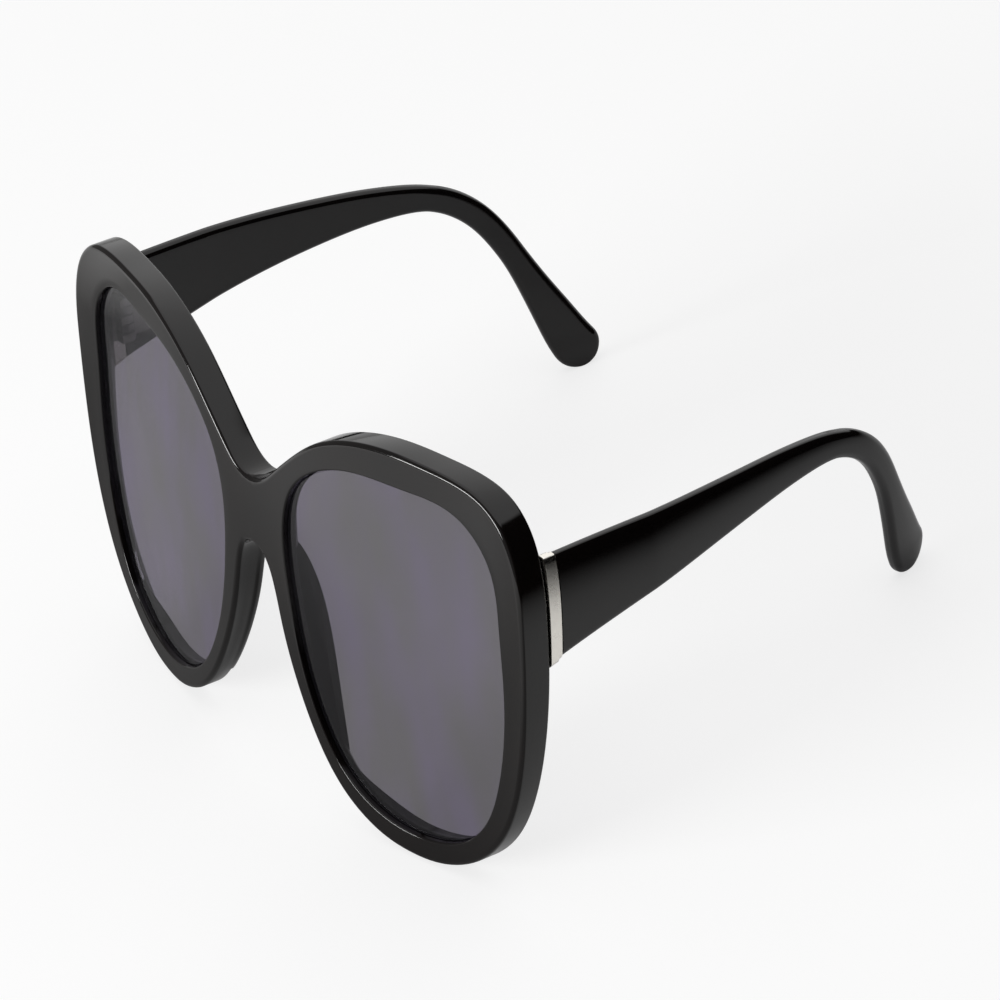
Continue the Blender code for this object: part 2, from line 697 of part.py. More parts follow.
def barrel_arc(start_deg, end_deg):
    """Return points of the hinge barrel's outline between two angles from +X."""
    angles = np.radians(np.linspace(start_deg, end_deg, ROUND_POINTS // 2 + 1))
    x = HINGE_X + BARREL_RADIUS * np.cos(angles)
    y = HINGE_Y + BARREL_RADIUS * np.sin(angles)
    return list(zip(x, y))


def knuckle_gaps(first, x_range, y_range):
    """Return the gaps cut in a leaf for the other leaf's knuckles, every second one from first."""
    gaps = []
    for index in range(first, KNUCKLE_COUNT, 2):
        low = HINGE_BOTTOM + index * KNUCKLE_PITCH - CLEARANCE / 2
        high = low + KNUCKLE_PITCH + CLEARANCE
        if index == 0:
            low -= OVERRUN
        if index == KNUCKLE_COUNT - 1:
            high += OVERRUN
        gaps.append(box_rings(x_range, y_range, (low, high)))
    return gaps


def barrel_bore():
    """Return the bore through the barrel that takes the screw."""
    radius = SCREW_RADIUS + CLEARANCE
    ends = ((radius, HINGE_BOTTOM - OVERRUN), (radius, HINGE_TOP + OVERRUN))
    return turned_rings(ends, (HINGE_X, HINGE_Y, 0.0))


def rivet_levels():
    """Return the levels of the two rivets, above and below the core wire."""
    centres = temple_frames(SQUARE_END_SHARE * np.arange(OUTLINE_STATIONS) / OUTLINE_STATIONS)[0]
    middle = np.interp(RIVET_Y, centres[:, 1], centres[:, 2])
    return middle - RIVET_SPACING / 2, middle + RIVET_SPACING / 2


def rivet_holes(end_x):
    """Return the two rivet holes from inside the leaf to a depth in the temple."""
    radius = RIVET_RADIUS + CLEARANCE
    ends = ((radius, LEAF_INNER_X - OVERRUN), (radius, end_x))
    return [turned_rings(ends, (0.0, RIVET_Y, level), True) for level in rivet_levels()]


def add_front(stand):
    """Make the front: one half, mirrored over the bridge, with the hinges' anchor slots."""
    rings = half_front_rings()
    bridge = range(OUTLINE_STATIONS, OUTLINE_STATIONS + BRIDGE_STATIONS)
    outer_wall = {(i, FRONT_ROWS - 1) for i in bridge}
    faces = loop_faces(*rings.shape[:2], True, outer_wall)
    front = mesh_object("front_frame", rings, faces, 1, stand)
    mirror = front.modifiers.new("right half", "MIRROR")
    mirror.merge_threshold = MERGE_DISTANCE
    for side, word in SIDES:
        cut(front, f"anchor_slot_{word}_cutter", [anchor_slot()], side)
    give_material(front, BLACK_PLASTIC, PLASTIC_ROUGHNESS)
    return front


def add_lens(stand, side, word):
    """Make one tinted lens: a domed shell whose bevel sits in the rim's groove."""
    poles, rings = lens_rings()
    count, ring_points = rings.shape[:2]
    faces = loop_faces(count, ring_points, False)
    front_pole = count * ring_points
    last = (count - 1) * ring_points
    for j in range(ring_points):
        k = (j + 1) % ring_points
        faces.append((front_pole, j, k))
        faces.append((front_pole + 1, last + j, last + k))
    points = np.vstack((rings.reshape(-1, 3), poles))
    lens = mesh_object(f"lens_{word}", points, faces, side, stand)
    give_material(lens, LENS_TINT, LENS_ROUGHNESS, 0.0, LENS_ALPHA)


def add_hinge(stand, pivot, side, word):
    """Make one hinge: the front's leaf, the temple's leaf, the screw and its two rivets."""
    back_y = HINGE_Y - BARREL_RADIUS - CLEARANCE
    across = (HINGE_X - BARREL_RADIUS - OVERRUN, LEAF_OUTER_X + OVERRUN)

    anchor_y = FRONT_REAR_Y - ANCHOR_DEPTH
    outline = [(LEAF_INNER_X, anchor_y), (LEAF_OUTER_X, anchor_y), *barrel_arc(0, 180),
               (HINGE_X - BARREL_RADIUS, back_y), (LEAF_INNER_X, back_y)]
    rings = prism_rings(outline, HINGE_BOTTOM, HINGE_TOP)
    front_leaf = lofted(f"hinge_front_leaf_{word}", rings, side, stand)
    gaps = knuckle_gaps(1, across, (back_y, HINGE_Y + BARREL_RADIUS + OVERRUN))
    cut(front_leaf, f"front_knuckle_gap_{word}_cutter", gaps, side)
    cut(front_leaf, f"front_barrel_bore_{word}_cutter", [barrel_bore()], side)

    meeting = math.degrees(math.acos((LEAF_INNER_X - HINGE_X) / BARREL_RADIUS))
    outline = [(LEAF_INNER_X, TEMPLE_LEAF_END_Y), (LEAF_OUTER_X, TEMPLE_LEAF_END_Y),
               *barrel_arc(0, meeting - 360)]
    rings = prism_rings(outline, HINGE_BOTTOM, HINGE_TOP)
    temple_leaf = lofted(f"hinge_temple_leaf_{word}", rings, side, pivot)
    gaps = knuckle_gaps(0, across, (back_y - OVERRUN, TEMPLE_LEAF_START_Y))
    cut(temple_leaf, f"temple_knuckle_gap_{word}_cutter", gaps, side)
    cut(temple_leaf, f"temple_barrel_bore_{word}_cutter", [barrel_bore()], side)
    cut(temple_leaf, f"leaf_rivet_hole_{word}_cutter", rivet_holes(LEAF_OUTER_X + OVERRUN), side)

    head_low = HINGE_TOP + CLEARANCE
    head_top = head_low + SCREW_HEAD_HEIGHT
    profile = ((SCREW_RADIUS, HINGE_BOTTOM), (SCREW_RADIUS, head_low),
               (SCREW_HEAD_RADIUS, head_low), (SCREW_HEAD_RADIUS, head_top))
    screw = lofted(f"hinge_screw_{word}", turned_rings(profile, (HINGE_X, HINGE_Y, 0.0)), side, stand)
    reach = SCREW_HEAD_RADIUS + OVERRUN
    slot = box_rings((HINGE_X - reach, HINGE_X + reach),
                     (HINGE_Y - SCREW_SLOT_WIDTH / 2, HINGE_Y + SCREW_SLOT_WIDTH / 2),
                     (head_top - SCREW_HEAD_HEIGHT / 2, head_top + OVERRUN))
    cut(screw, f"screw_slot_{word}_cutter", [slot], side)

    seat_x = LEAF_INNER_X - CLEARANCE
    profile = ((RIVET_HEAD_RADIUS, seat_x - RIVET_HEAD_HEIGHT), (RIVET_HEAD_RADIUS, seat_x),
               (RIVET_RADIUS, seat_x), (RIVET_RADIUS, TEMPLE_INNER_X + RIVET_DEPTH))
    rivets = []
    for level, place in zip(rivet_levels(), ("lower", "upper")):
        rings = turned_rings(profile, (0.0, RIVET_Y, level), True)
        rivets.append(lofted(f"hinge_rivet_{place}_{word}", rings, side, pivot))

    for piece in (front_leaf, temple_leaf, screw, *rivets):
        give_material(piece, STEEL, STEEL_ROUGHNESS, 1.0)


def add_temple(pivot, side, word):
    """Make one temple with its core wire and its metal end cap."""
    temple = lofted(f"temple_{word}", temple_rings(), side, pivot)
    holes = rivet_holes(TEMPLE_INNER_X + RIVET_DEPTH + CLEARANCE)
    cut(temple, f"temple_rivet_hole_{word}_cutter", holes, side)
    give_material(temple, BLACK_PLASTIC, PLASTIC_ROUGHNESS)
    core = lofted(f"temple_core_{word}", core_rings(), side, pivot)
    give_material(core, STEEL, STEEL_ROUGHNESS, 1.0)
    trim = lofted(f"temple_trim_{word}", trim_rings(), side, pivot, True)
    give_material(trim, SILVER, SILVER_ROUGHNESS, 1.0)
    return temple


def add_pad(stand, side, word):
    """Make one nose pad."""
    pad = lofted(f"nose_pad_{word}", pad_rings(), side, stand)
    give_material(pad, BLACK_PLASTIC, PLASTIC_ROUGHNESS)


def add_empty(name, location, parent=None):
    """Make an empty that carries other objects."""
    empty = bpy.data.objects.new(name, None)
    empty.location = location
    empty.parent = parent
    bpy.context.scene.collection.objects.link(empty)
    return empty


def main():
    """Build the whole pair of sunglasses."""
    for existing in list(bpy.data.objects):
        bpy.data.objects.remove(existing, do_unlink=True)
    front_points = half_front_rings().reshape(-1, 3)
    temple_points = temple_rings().reshape(-1, 3)
    lean, place = standing_pose(front_points, temple_points)
    stand = add_empty("stand", place)
    stand.rotation_euler.x = -lean

    standing = [add_front(stand)]
    for side, word in SIDES:
        pivot = add_empty(f"temple_pivot_{word}", (side * HINGE_X, HINGE_Y, TEMPLE_LEVEL), stand)
        add_lens(stand, side, word)
        add_pad(stand, side, word)
        add_hinge(stand, pivot, side, word)
        standing.append(add_temple(pivot, side, word))

    reach = HALF_WIDTH + TEMPLE_LENGTH
    ground_rings = box_rings((-reach, reach), (-reach, reach), (-reach, 0.0))
    ground = mesh_object("ground_cutter", *several([ground_rings]))
    for piece in standing:
        cut_with(piece, ground)


main()
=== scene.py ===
"""Oversized reading sunglasses: a polished acetate front, smoked lenses and folding temples.

The shapes are laid out in the front's own frame: X runs to the wearer's left, Y to the back of
the head and Z up from the bottom of the rims, with the front upright. The pair is then leaned
back and put down where the packed model stands.
"""

import json
import math

import bmesh
import bpy
import numpy as np
from bpy.props import FloatProperty, FloatVectorProperty, IntProperty, PointerProperty
from bpy.types import Operator, Panel, PropertyGroup
from mathutils import Matrix, Vector


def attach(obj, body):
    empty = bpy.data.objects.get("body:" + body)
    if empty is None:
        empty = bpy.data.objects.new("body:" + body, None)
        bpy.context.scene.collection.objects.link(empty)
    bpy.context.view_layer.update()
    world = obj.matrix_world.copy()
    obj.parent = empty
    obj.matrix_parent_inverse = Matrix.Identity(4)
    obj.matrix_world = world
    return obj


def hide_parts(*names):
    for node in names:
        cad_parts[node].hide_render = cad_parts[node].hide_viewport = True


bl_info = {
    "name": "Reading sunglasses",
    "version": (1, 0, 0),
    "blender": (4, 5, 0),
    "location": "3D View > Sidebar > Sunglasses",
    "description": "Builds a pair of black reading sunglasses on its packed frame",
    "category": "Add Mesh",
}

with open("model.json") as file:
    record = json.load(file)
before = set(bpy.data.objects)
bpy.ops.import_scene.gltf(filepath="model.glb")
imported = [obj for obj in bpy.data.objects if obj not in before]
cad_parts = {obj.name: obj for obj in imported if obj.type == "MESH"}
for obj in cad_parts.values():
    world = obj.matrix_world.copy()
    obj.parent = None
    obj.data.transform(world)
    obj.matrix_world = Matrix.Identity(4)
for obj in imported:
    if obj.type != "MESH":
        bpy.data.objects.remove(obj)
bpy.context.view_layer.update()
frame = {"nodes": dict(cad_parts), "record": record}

MM = 0.001
SIDES = ((1, "left"), (-1, "right"))
JOINTS = {joint["child"]: joint for joint in frame["record"]["behaviour"]["joints"]}
HINGE_PLACE = Vector(JOINTS["left_temple"]["pos_m"])
HINGE_AXIS = Vector(JOINTS["left_temple"]["axis"])
LEAN = math.atan2(HINGE_AXIS.y, HINGE_AXIS.z)
BARREL_RADIUS = 1.5 * MM
MERGE = 0.002 * MM
FLAT_DEG = 1.0
DISTANCE_CHUNK = 2000
CAMERA_SENSOR_MM = 36.0
CAMERA_REACH = 20.0

# Outline of the left lens opening, as shares of its width and height
OPENING_SHARES = (
    (0.000, 0.645), (0.012, 0.745), (0.063, 0.842), (0.167, 0.922), (0.345, 0.982),
    (0.585, 1.000), (0.845, 0.985), (0.962, 0.893), (0.992, 0.735), (1.000, 0.540),
    (0.988, 0.400), (0.955, 0.268), (0.893, 0.143), (0.778, 0.047), (0.640, 0.005),
    (0.500, 0.000), (0.365, 0.027), (0.240, 0.092), (0.138, 0.200), (0.058, 0.352),
    (0.015, 0.515),
)

# Outer outline of the front's left half, as shares of its half width and its height
OUTLINE_SHARES = (
    (0.000, 0.750), (0.055, 0.763), (0.107, 0.799), (0.205, 0.877), (0.293, 0.934),
    (0.415, 0.979), (0.544, 0.998), (0.672, 1.000), (0.794, 0.996), (0.882, 0.976),
    (0.943, 0.932), (0.979, 0.871), (0.997, 0.790), (1.000, 0.692), (0.990, 0.494),
    (0.974, 0.385), (0.941, 0.268), (0.885, 0.161), (0.806, 0.079), (0.715, 0.027),
    (0.629, 0.004), (0.555, 0.000), (0.480, 0.007), (0.408, 0.028), (0.336, 0.065),
    (0.272, 0.118), (0.205, 0.202), (0.144, 0.310), (0.103, 0.415), (0.074, 0.515),
    (0.042, 0.566), (0.000, 0.581),
)

# How the front sweeps back and thickens
WRAP_FLATTEN_SHARE = 1.24
BOW_LEVEL_SHARE = 0.71
THICKEN_FROM_SHARE = 0.15
THICKEN_TO_SHARE = 0.65
DISH_DEPTH_SHARE = 0.92
DISH_LOW_DEPTH_SHARE = 0.1
DISH_LOW_SPAN_SHARE = 0.09
DISH_WIDTH_SHARE = 0.8

# Where the nose pad runs on the outline, and its section
PAD_START_SHARE = 0.992
PAD_END_SHARE = 0.820
PAD_PEAK_SHARE = 0.40
PAD_END_HEIGHT_SHARE = 0.03
PAD_SWELL_POWER = 1.1
PAD_ROOT_SHARE = 0.1
PAD_FAIRING_SHARES = ((-0.12, 0.0), (0.12, 0.25), (0.6, 0.65))
PAD_SLOPE_SHARES = ((0.35, 0.62), (0.75, 0.94), (1.0, 1.0))
PAD_BACK_SHARE = 0.7
PAD_CORNER_STEPS = 5

# How the temple bends, closes in and changes height along its run
HEADING_PLACE_SHARES = (0.0, 0.30, 0.45, 0.54, 0.62, 0.70, 0.78, 0.86, 0.93, 1.0)
TEMPLE_HEADINGS_DEG = (-9.5, -5.0, -0.5, 8.5, 33.5, 56.0, 65.0, 66.0, 65.0, 48.0)
TOE_IN_FROM_SHARE = 0.17
TOE_IN_POWER = 1.4
TAPER_TO_SHARE = 0.57
TAPER_POWER = 1.2
PADDLE_FROM_SHARE = 0.75
SQUARE_END_SHARE = 0.30
TIP_ROUND_SHARE = 0.045
CORE_END_SHARE = 0.80
LARGEST_CORNER_SHARE = 0.48
CAP_TAPER_PROBE_SHARE = 0.009375

# How much of a lens face is pigment, and the white cut-out that the camera sees for the floor
LENS_PIGMENT_SHARE = 0.582
CUT_OUT_SHADE = 0.3
CUT_OUT_GLOW = 0.74

# The studio's lights: towards where, the cosines at which one starts and is full, its strengths there
OVERHEAD_LIGHT = ((-0.054, 0.304, 0.951), 0.745, 0.80, 0.0, 1.2)
BACKDROP_LIGHT = ((-0.595, 0.761, 0.259), 0.76, 0.92, 0.0, 1.25)
ROOM_LIGHT = ((0.763, 0.640, 0.087), -0.2, 0.5, 0.25, 0.0)

# The strip lamp before the pair, in metres
LAMP_PLACE = (-0.23, -1.08, 0.48)
LAMP_SIZE = (0.75, 0.2)
LAMP_RADIANCE = 20.0


def millimetres(name, description, size):
    """Return a length property whose default is a size in millimetres."""
    return FloatProperty(name=name, description=description, default=size * MM, min=0.0,
                         precision=5, unit="LENGTH", subtype="DISTANCE")


def angle(name, description, degrees):
    """Return an angle property whose default is an angle in degrees."""
    return FloatProperty(name=name, description=description, default=math.radians(degrees),
                         subtype="ANGLE")


def linear_colour(hex_code):
    """Turn an sRGB hex code into linear red, green and blue.

    A value v up to 0.04045 becomes v / 12.92, and a larger one ((v + 0.055) / 1.055) ^ 2.4.
    """
    values = [int(hex_code[start:start + 2], 16) / 255 for start in (1, 3, 5)]
    return tuple(v / 12.92 if v <= 0.04045 else ((v + 0.055) / 1.055) ** 2.4 for v in values)


def colour(name, description, hex_code):
    """Return a colour property whose default is an sRGB hex code."""
    return FloatVectorProperty(name=name, description=description, default=linear_colour(hex_code),
                               min=0.0, max=1.0, size=3, subtype="COLOR")


class FrontSizes(PropertyGroup):
    """Sizes of the front, seen square to it unless they are depths."""

    opening_width: millimetres("Opening width", "Width of a lens opening", 54.0)
    opening_height: millimetres("Opening height", "Height of a lens opening", 67.6)
    bridge_gap: millimetres("Bridge", "Least distance between the two openings", 19.0)
    rim_top: millimetres("Rim top", "Height of the rim above an opening", 6.5)
    rim_side: millimetres("Rim side", "Width of the rim beside an opening", 6.4)
    rim_bottom: millimetres("Rim bottom", "Height of the rim below an opening", 4.4)
    wrap_depth: millimetres("Wrap", "How far the sides sweep back behind the bridge", 8.1)
    face_bow: millimetres("Bow", "How far the rim bottoms bow forward", 1.5)
    rim_depth: millimetres("Rim depth", "Depth of the front at the rim bottoms", 4.5)
    hinge_depth: millimetres("Hinge depth", "Depth of the front at the hinges", 5.6)
    front_edge: millimetres("Front edge", "Radius of the outer front edge", 0.9)
    rear_edge: millimetres("Rear edge", "Radius of the outer rear edge", 0.5)
    opening_edge: millimetres("Opening edge", "Radius of an opening's front edge", 0.35)
    dish_width: millimetres("Dish width", "Width of the dish behind an opening", 4.2)
    groove_lip: millimetres("Groove lip", "Depth of the wall in front of the lens groove", 1.0)
    groove_width: millimetres("Groove width", "Width of the lens groove", 1.5)
    groove_depth: millimetres("Groove depth", "Depth of the lens groove", 1.0)
    clearance: millimetres("Clearance", "Gap between separate pieces", 0.3)


class LensSizes(PropertyGroup):
    """Sizes of the lenses."""

    thickness: millimetres("Thickness", "Thickness of a lens at its edge", 1.6)
    dome: millimetres("Dome", "How far the middle of a lens stands forward", 1.2)


class PadSizes(PropertyGroup):
    """Sizes of the nose pads."""

    setback: millimetres("Setback", "Start of the pad behind the front face", 1.0)
    skin: millimetres("Skin", "Thickness of the pad over the rim", 0.5)
    reach: millimetres("Reach", "Height of the pad over its seat behind the front", 1.5)
    root: millimetres("Root", "How far the pad is set into the rear of the front", 1.3)
    crest_inset: millimetres("Crest inset", "Distance of the pad's crest from its outer edge", 4.7)
    crest_width: millimetres("Crest width", "Width of the pad's crest", 0.6)


class TempleSizes(PropertyGroup):
    """Sizes of the temples."""

    length: millimetres("Length", "Length of a temple along its run", 113.5)
    thickness: millimetres("Thickness", "Thickness of a temple", 3.0)
    level: millimetres("Level", "Height of a temple's middle line above the rim bottoms", 58.2)
    height: millimetres("Height", "Height of a temple at its end cap", 19.4)
    waist: millimetres("Waist", "Height of a temple at its narrowest", 5.0)
    paddle: millimetres("Paddle", "Height of a temple at its paddle", 9.5)
    corner: millimetres("Corner", "Radius along a temple's edges", 1.2)
    crown: millimetres("Crown", "How far the outer side rounds away at its top edge", 0.9)
    toe_in: millimetres("Toe-in", "How far a temple's tip closes in", 19.6)
    core_width: millimetres("Core width", "Width of the core wire", 1.0)
    core_height: millimetres("Core height", "Height of the core wire", 2.0)


class CapSizes(PropertyGroup):
    """Sizes of the metal end caps between front and temples."""

    length: millimetres("Length", "Length of an end cap", 2.35)
    proud: millimetres("Proud", "How far an end cap stands out over its temple", 0.35)
    ledge: millimetres("Ledge", "Length of the lower step next to the temple", 0.8)
    ledge_proud: millimetres("Ledge proud", "How far the lower step stands out", 0.15)
    edge: millimetres("Edge", "Radius of an end cap's edges", 0.12)


class HingeSizes(PropertyGroup):
    """Sizes of the finish on the hinges."""

    edge: millimetres("Edge", "Radius of the eased edges of leaves, screws and rivets", 0.08)


class Finishes(PropertyGroup):
    """Colours of the materials."""

    acetate: colour("Acetate", "Black acetate of front, pads and temples", "#0C0B0C")
    acetate_warm: colour("Warm acetate", "Brownish clouds in the acetate", "#171210")
    lens_body: colour("Lens body", "Grey pigment of the smoked lenses", "#171619")
    lens: colour("Lens", "Tint that light takes on in a lens", "#ECEAED")
    lens_violet: colour("Lens streaks", "Tint of the violet streaks", "#F2ECFC")
    plating: colour("Plating", "Nickel plating of the end caps", "#FAF6EE")
    steel: colour("Steel", "Steel of hinges and core wires", "#8E8B87")
    floor: colour("Sheet", "White sheet under the pair", "#F7F7F7")


class StageSettings(PropertyGroup):
    """The camera and the studio."""

    azimuth: angle("Azimuth", "Camera's direction round the pair", 64.423)
    elevation: angle("Elevation", "Camera's height angle", 36.297)
    roll: angle("Roll", "Camera's turn about its line of sight", -17.610)
    place: FloatVectorProperty(name="Place", description="Camera's place", precision=5,
                               default=(0.74417, -0.35473, 0.62935), size=3, subtype="TRANSLATION")
    lens: FloatProperty(name="Lens", description="Focal length on a 36 mm square, in millimetres",
                        default=207.446, min=1.0)
    world: FloatProperty(name="Surroundings", description="Strength of the light from all round",
                         default=1.0, min=0.0)
    floor_size: FloatProperty(name="Floor size", description="Side of the floor", default=8.0,
                              unit="LENGTH", subtype="DISTANCE")


class Fineness(PropertyGroup):
    """How fine the meshes are."""

    outline: IntProperty(name="Outline", description="Stations round a rim", default=420, min=60)
    bridge: IntProperty(name="Bridge", description="Stations down the bridge", default=48, min=8)
    face: IntProperty(name="Face", description="Rows over the rim's faces", default=8, min=2)
    edge: IntProperty(name="Edge", description="Steps round an edge", default=9, min=2)
    temple: IntProperty(name="Temple", description="Stations along a temple", default=220, min=30)


def smoothstep(value):
    """Rise from 0 to 1 as 3 v^2 - 2 v^3, with level ends, held outside that range."""
    held = np.clip(value, 0.0, 1.0)
    return held * held * (3.0 - 2.0 * held)


def cubic(u, start, end, start_slope, end_slope):
    """Run from start to end as u goes from 0 to 1, as a cubic with the given slopes there."""
    return ((1.0 + 2.0 * u) * (1.0 - u) ** 2 * start + u ** 2 * (3.0 - 2.0 * u) * end
            + u * (1.0 - u) ** 2 * start_slope + u ** 2 * (u - 1.0) * end_slope)


def closed_spline(points):
    """Return a closed curve through the points for t from 0 to 1, as cubics of equal curvature.

    The slopes m solve h_i m_(i-1) + 2 (h_(i-1) + h_i) m_i + h_(i-1) m_(i+1) = 3 times the chords'
    weighted rates, where h are the chord lengths.
    """
    knots = np.asarray(points, float)
    count = len(knots)
    before = np.roll(knots, 1, axis=0)
    after = np.roll(knots, -1, axis=0)
    ahead = np.linalg.norm(after - knots, axis=1)
    behind = np.roll(ahead, 1)
    rows = np.arange(count)
    system = np.zeros((count, count))
    system[rows, rows - 1] = ahead
    system[rows, rows] = 2.0 * (behind + ahead)
    system[rows, (rows + 1) % count] = behind
    rates = (knots - before) * (ahead / behind)[:, None] + (after - knots) * (behind / ahead)[:, None]
    slopes = np.linalg.solve(system, 3.0 * rates)
    lengths = np.concatenate(([0.0], np.cumsum(ahead)))

    def curve(t):
        distance = np.mod(t, 1.0) * lengths[-1]
        index = np.clip(np.searchsorted(lengths, distance, side="right") - 1, 0, count - 1)
        span = ahead[index][:, None]
        u = (distance - lengths[index])[:, None] / span
        return cubic(u, knots[index], after[index], span * slopes[index], span * slopes[(index + 1) % count])

    return curve


def smooth_through(places, values):
    """Return a smooth curve through values at places, as cubics between them."""
    places = np.array(places)
    values = np.array(values)
    slopes = np.gradient(values, places)

    def curve(at):
        index = np.clip(np.searchsorted(places, at, side="right") - 1, 0, len(places) - 2)
        span = places[index + 1] - places[index]
        u = (np.clip(at, 0.0, 1.0) - places[index]) / span
        return cubic(u, values[index], values[index + 1], span * slopes[index], span * slopes[index + 1])

    return curve


class FrontShape:
    """The front as functions of its plan (x, z), from the sizes in the sidebar."""

    def __init__(self, sizes):
        self.sizes = sizes
        self.half_width = sizes.bridge_gap / 2 + sizes.opening_width + sizes.rim_side
        self.height = sizes.rim_bottom + sizes.opening_height + sizes.rim_top
        self.rear_y = sizes.wrap_depth + sizes.hinge_depth
        self.groove_middle = sizes.groove_lip + sizes.groove_width / 2

    def outline(self):
        """Return the closed outer outline; t from 0 to 0.5 is its left half, from the bridge top."""
        half = np.array(OUTLINE_SHARES) * (self.half_width, self.height)
        mirrored = half[-2:0:-1] * (-1.0, 1.0)
        return closed_spline(np.vstack((half, mirrored)))

    def opening(self):
        """Return the closed outline of the left lens opening."""
        size = (self.sizes.opening_width, self.sizes.opening_height)
        corner = (self.sizes.bridge_gap / 2, self.sizes.rim_bottom)
        return closed_spline(np.array(OPENING_SHARES) * size + corner)

    def wrap(self, plan):
        """Depth of the front face: D ((1 + f) a^2 - f a^4) - B b^2.

        a is the share of the half width, b the height's share past the bow's level.
        """
        aside = plan[..., 0] / self.half_width
        below = plan[..., 1] / (BOW_LEVEL_SHARE * self.height) - 1.0
        sweep_back = (1.0 + WRAP_FLATTEN_SHARE) * aside ** 2 - WRAP_FLATTEN_SHARE * aside ** 4
        return self.sizes.wrap_depth * sweep_back - self.sizes.face_bow * below ** 2

    def depth(self, plan):
        """Depth from face to rear, which grows with a smooth step in height."""
        rise = (plan[..., 1] / self.height - THICKEN_FROM_SHARE) / (THICKEN_TO_SHARE - THICKEN_FROM_SHARE)
        growth = self.sizes.hinge_depth - self.sizes.rim_depth
        return self.sizes.rim_depth + growth * smoothstep(rise)


def at_depth(plan, depth):
    """Put points of the front's plan (x, z) at their depth behind the bridge."""
    return np.stack((plan[..., 0], depth, plan[..., 1]), axis=-1)


def toward_opening(edge, points):
    """Return where rays from the middle of the opening to the points cross its edge.

    The edge's distance from the middle is read as a function of the ray's angle.
    """
    middle = edge.mean(axis=0)
    arms = edge - middle
    angles = np.arctan2(arms[:, 1], arms[:, 0])
    order = np.argsort(angles)
    wanted = np.arctan2(points[:, 1] - middle[1], points[:, 0] - middle[0])
    reach = np.interp(wanted, angles[order], np.hypot(arms[:, 0], arms[:, 1])[order], period=2 * np.pi)
    return middle + reach[:, None] * np.column_stack((np.cos(wanted), np.sin(wanted)))


def outward_normals(loop):
    """Return unit normals of a closed convex loop: its tangents turned a quarter, facing out."""
    along = np.roll(loop, -1, axis=0) - np.roll(loop, 1, axis=0)
    normals = np.column_stack((along[:, 1], -along[:, 0]))
    normals /= np.linalg.norm(normals, axis=1)[:, None]
    side = np.sum(normals * (loop - loop.mean(axis=0)), axis=1)
    return normals * np.sign(side)[:, None]


def distance_to_loop(points, loop):
    """Return each point's least distance to the straight pieces of a closed loop."""
    ahead = np.roll(loop, -1, axis=0) - loop
    square = np.sum(ahead ** 2, axis=1)
    flat = points.reshape(-1, 2)
    nearest = []
    for chunk in np.array_split(flat, max(1, len(flat) // DISTANCE_CHUNK)):
        arms = chunk[:, None] - loop
        share = np.clip(np.sum(arms * ahead, axis=2) / square, 0.0, 1.0)
        nearest.append(np.linalg.norm(arms - share[..., None] * ahead, axis=2).min(axis=1))
    return np.concatenate(nearest).reshape(points.shape[:-1])


def edge_drop(distance, radius):
    """Height lost on a quarter round: r - sqrt(r^2 - (r - d)^2) at a distance d from the edge."""
    inside = np.clip(radius - distance, 0.0, radius)
    return radius - np.sqrt(radius ** 2 - inside ** 2)


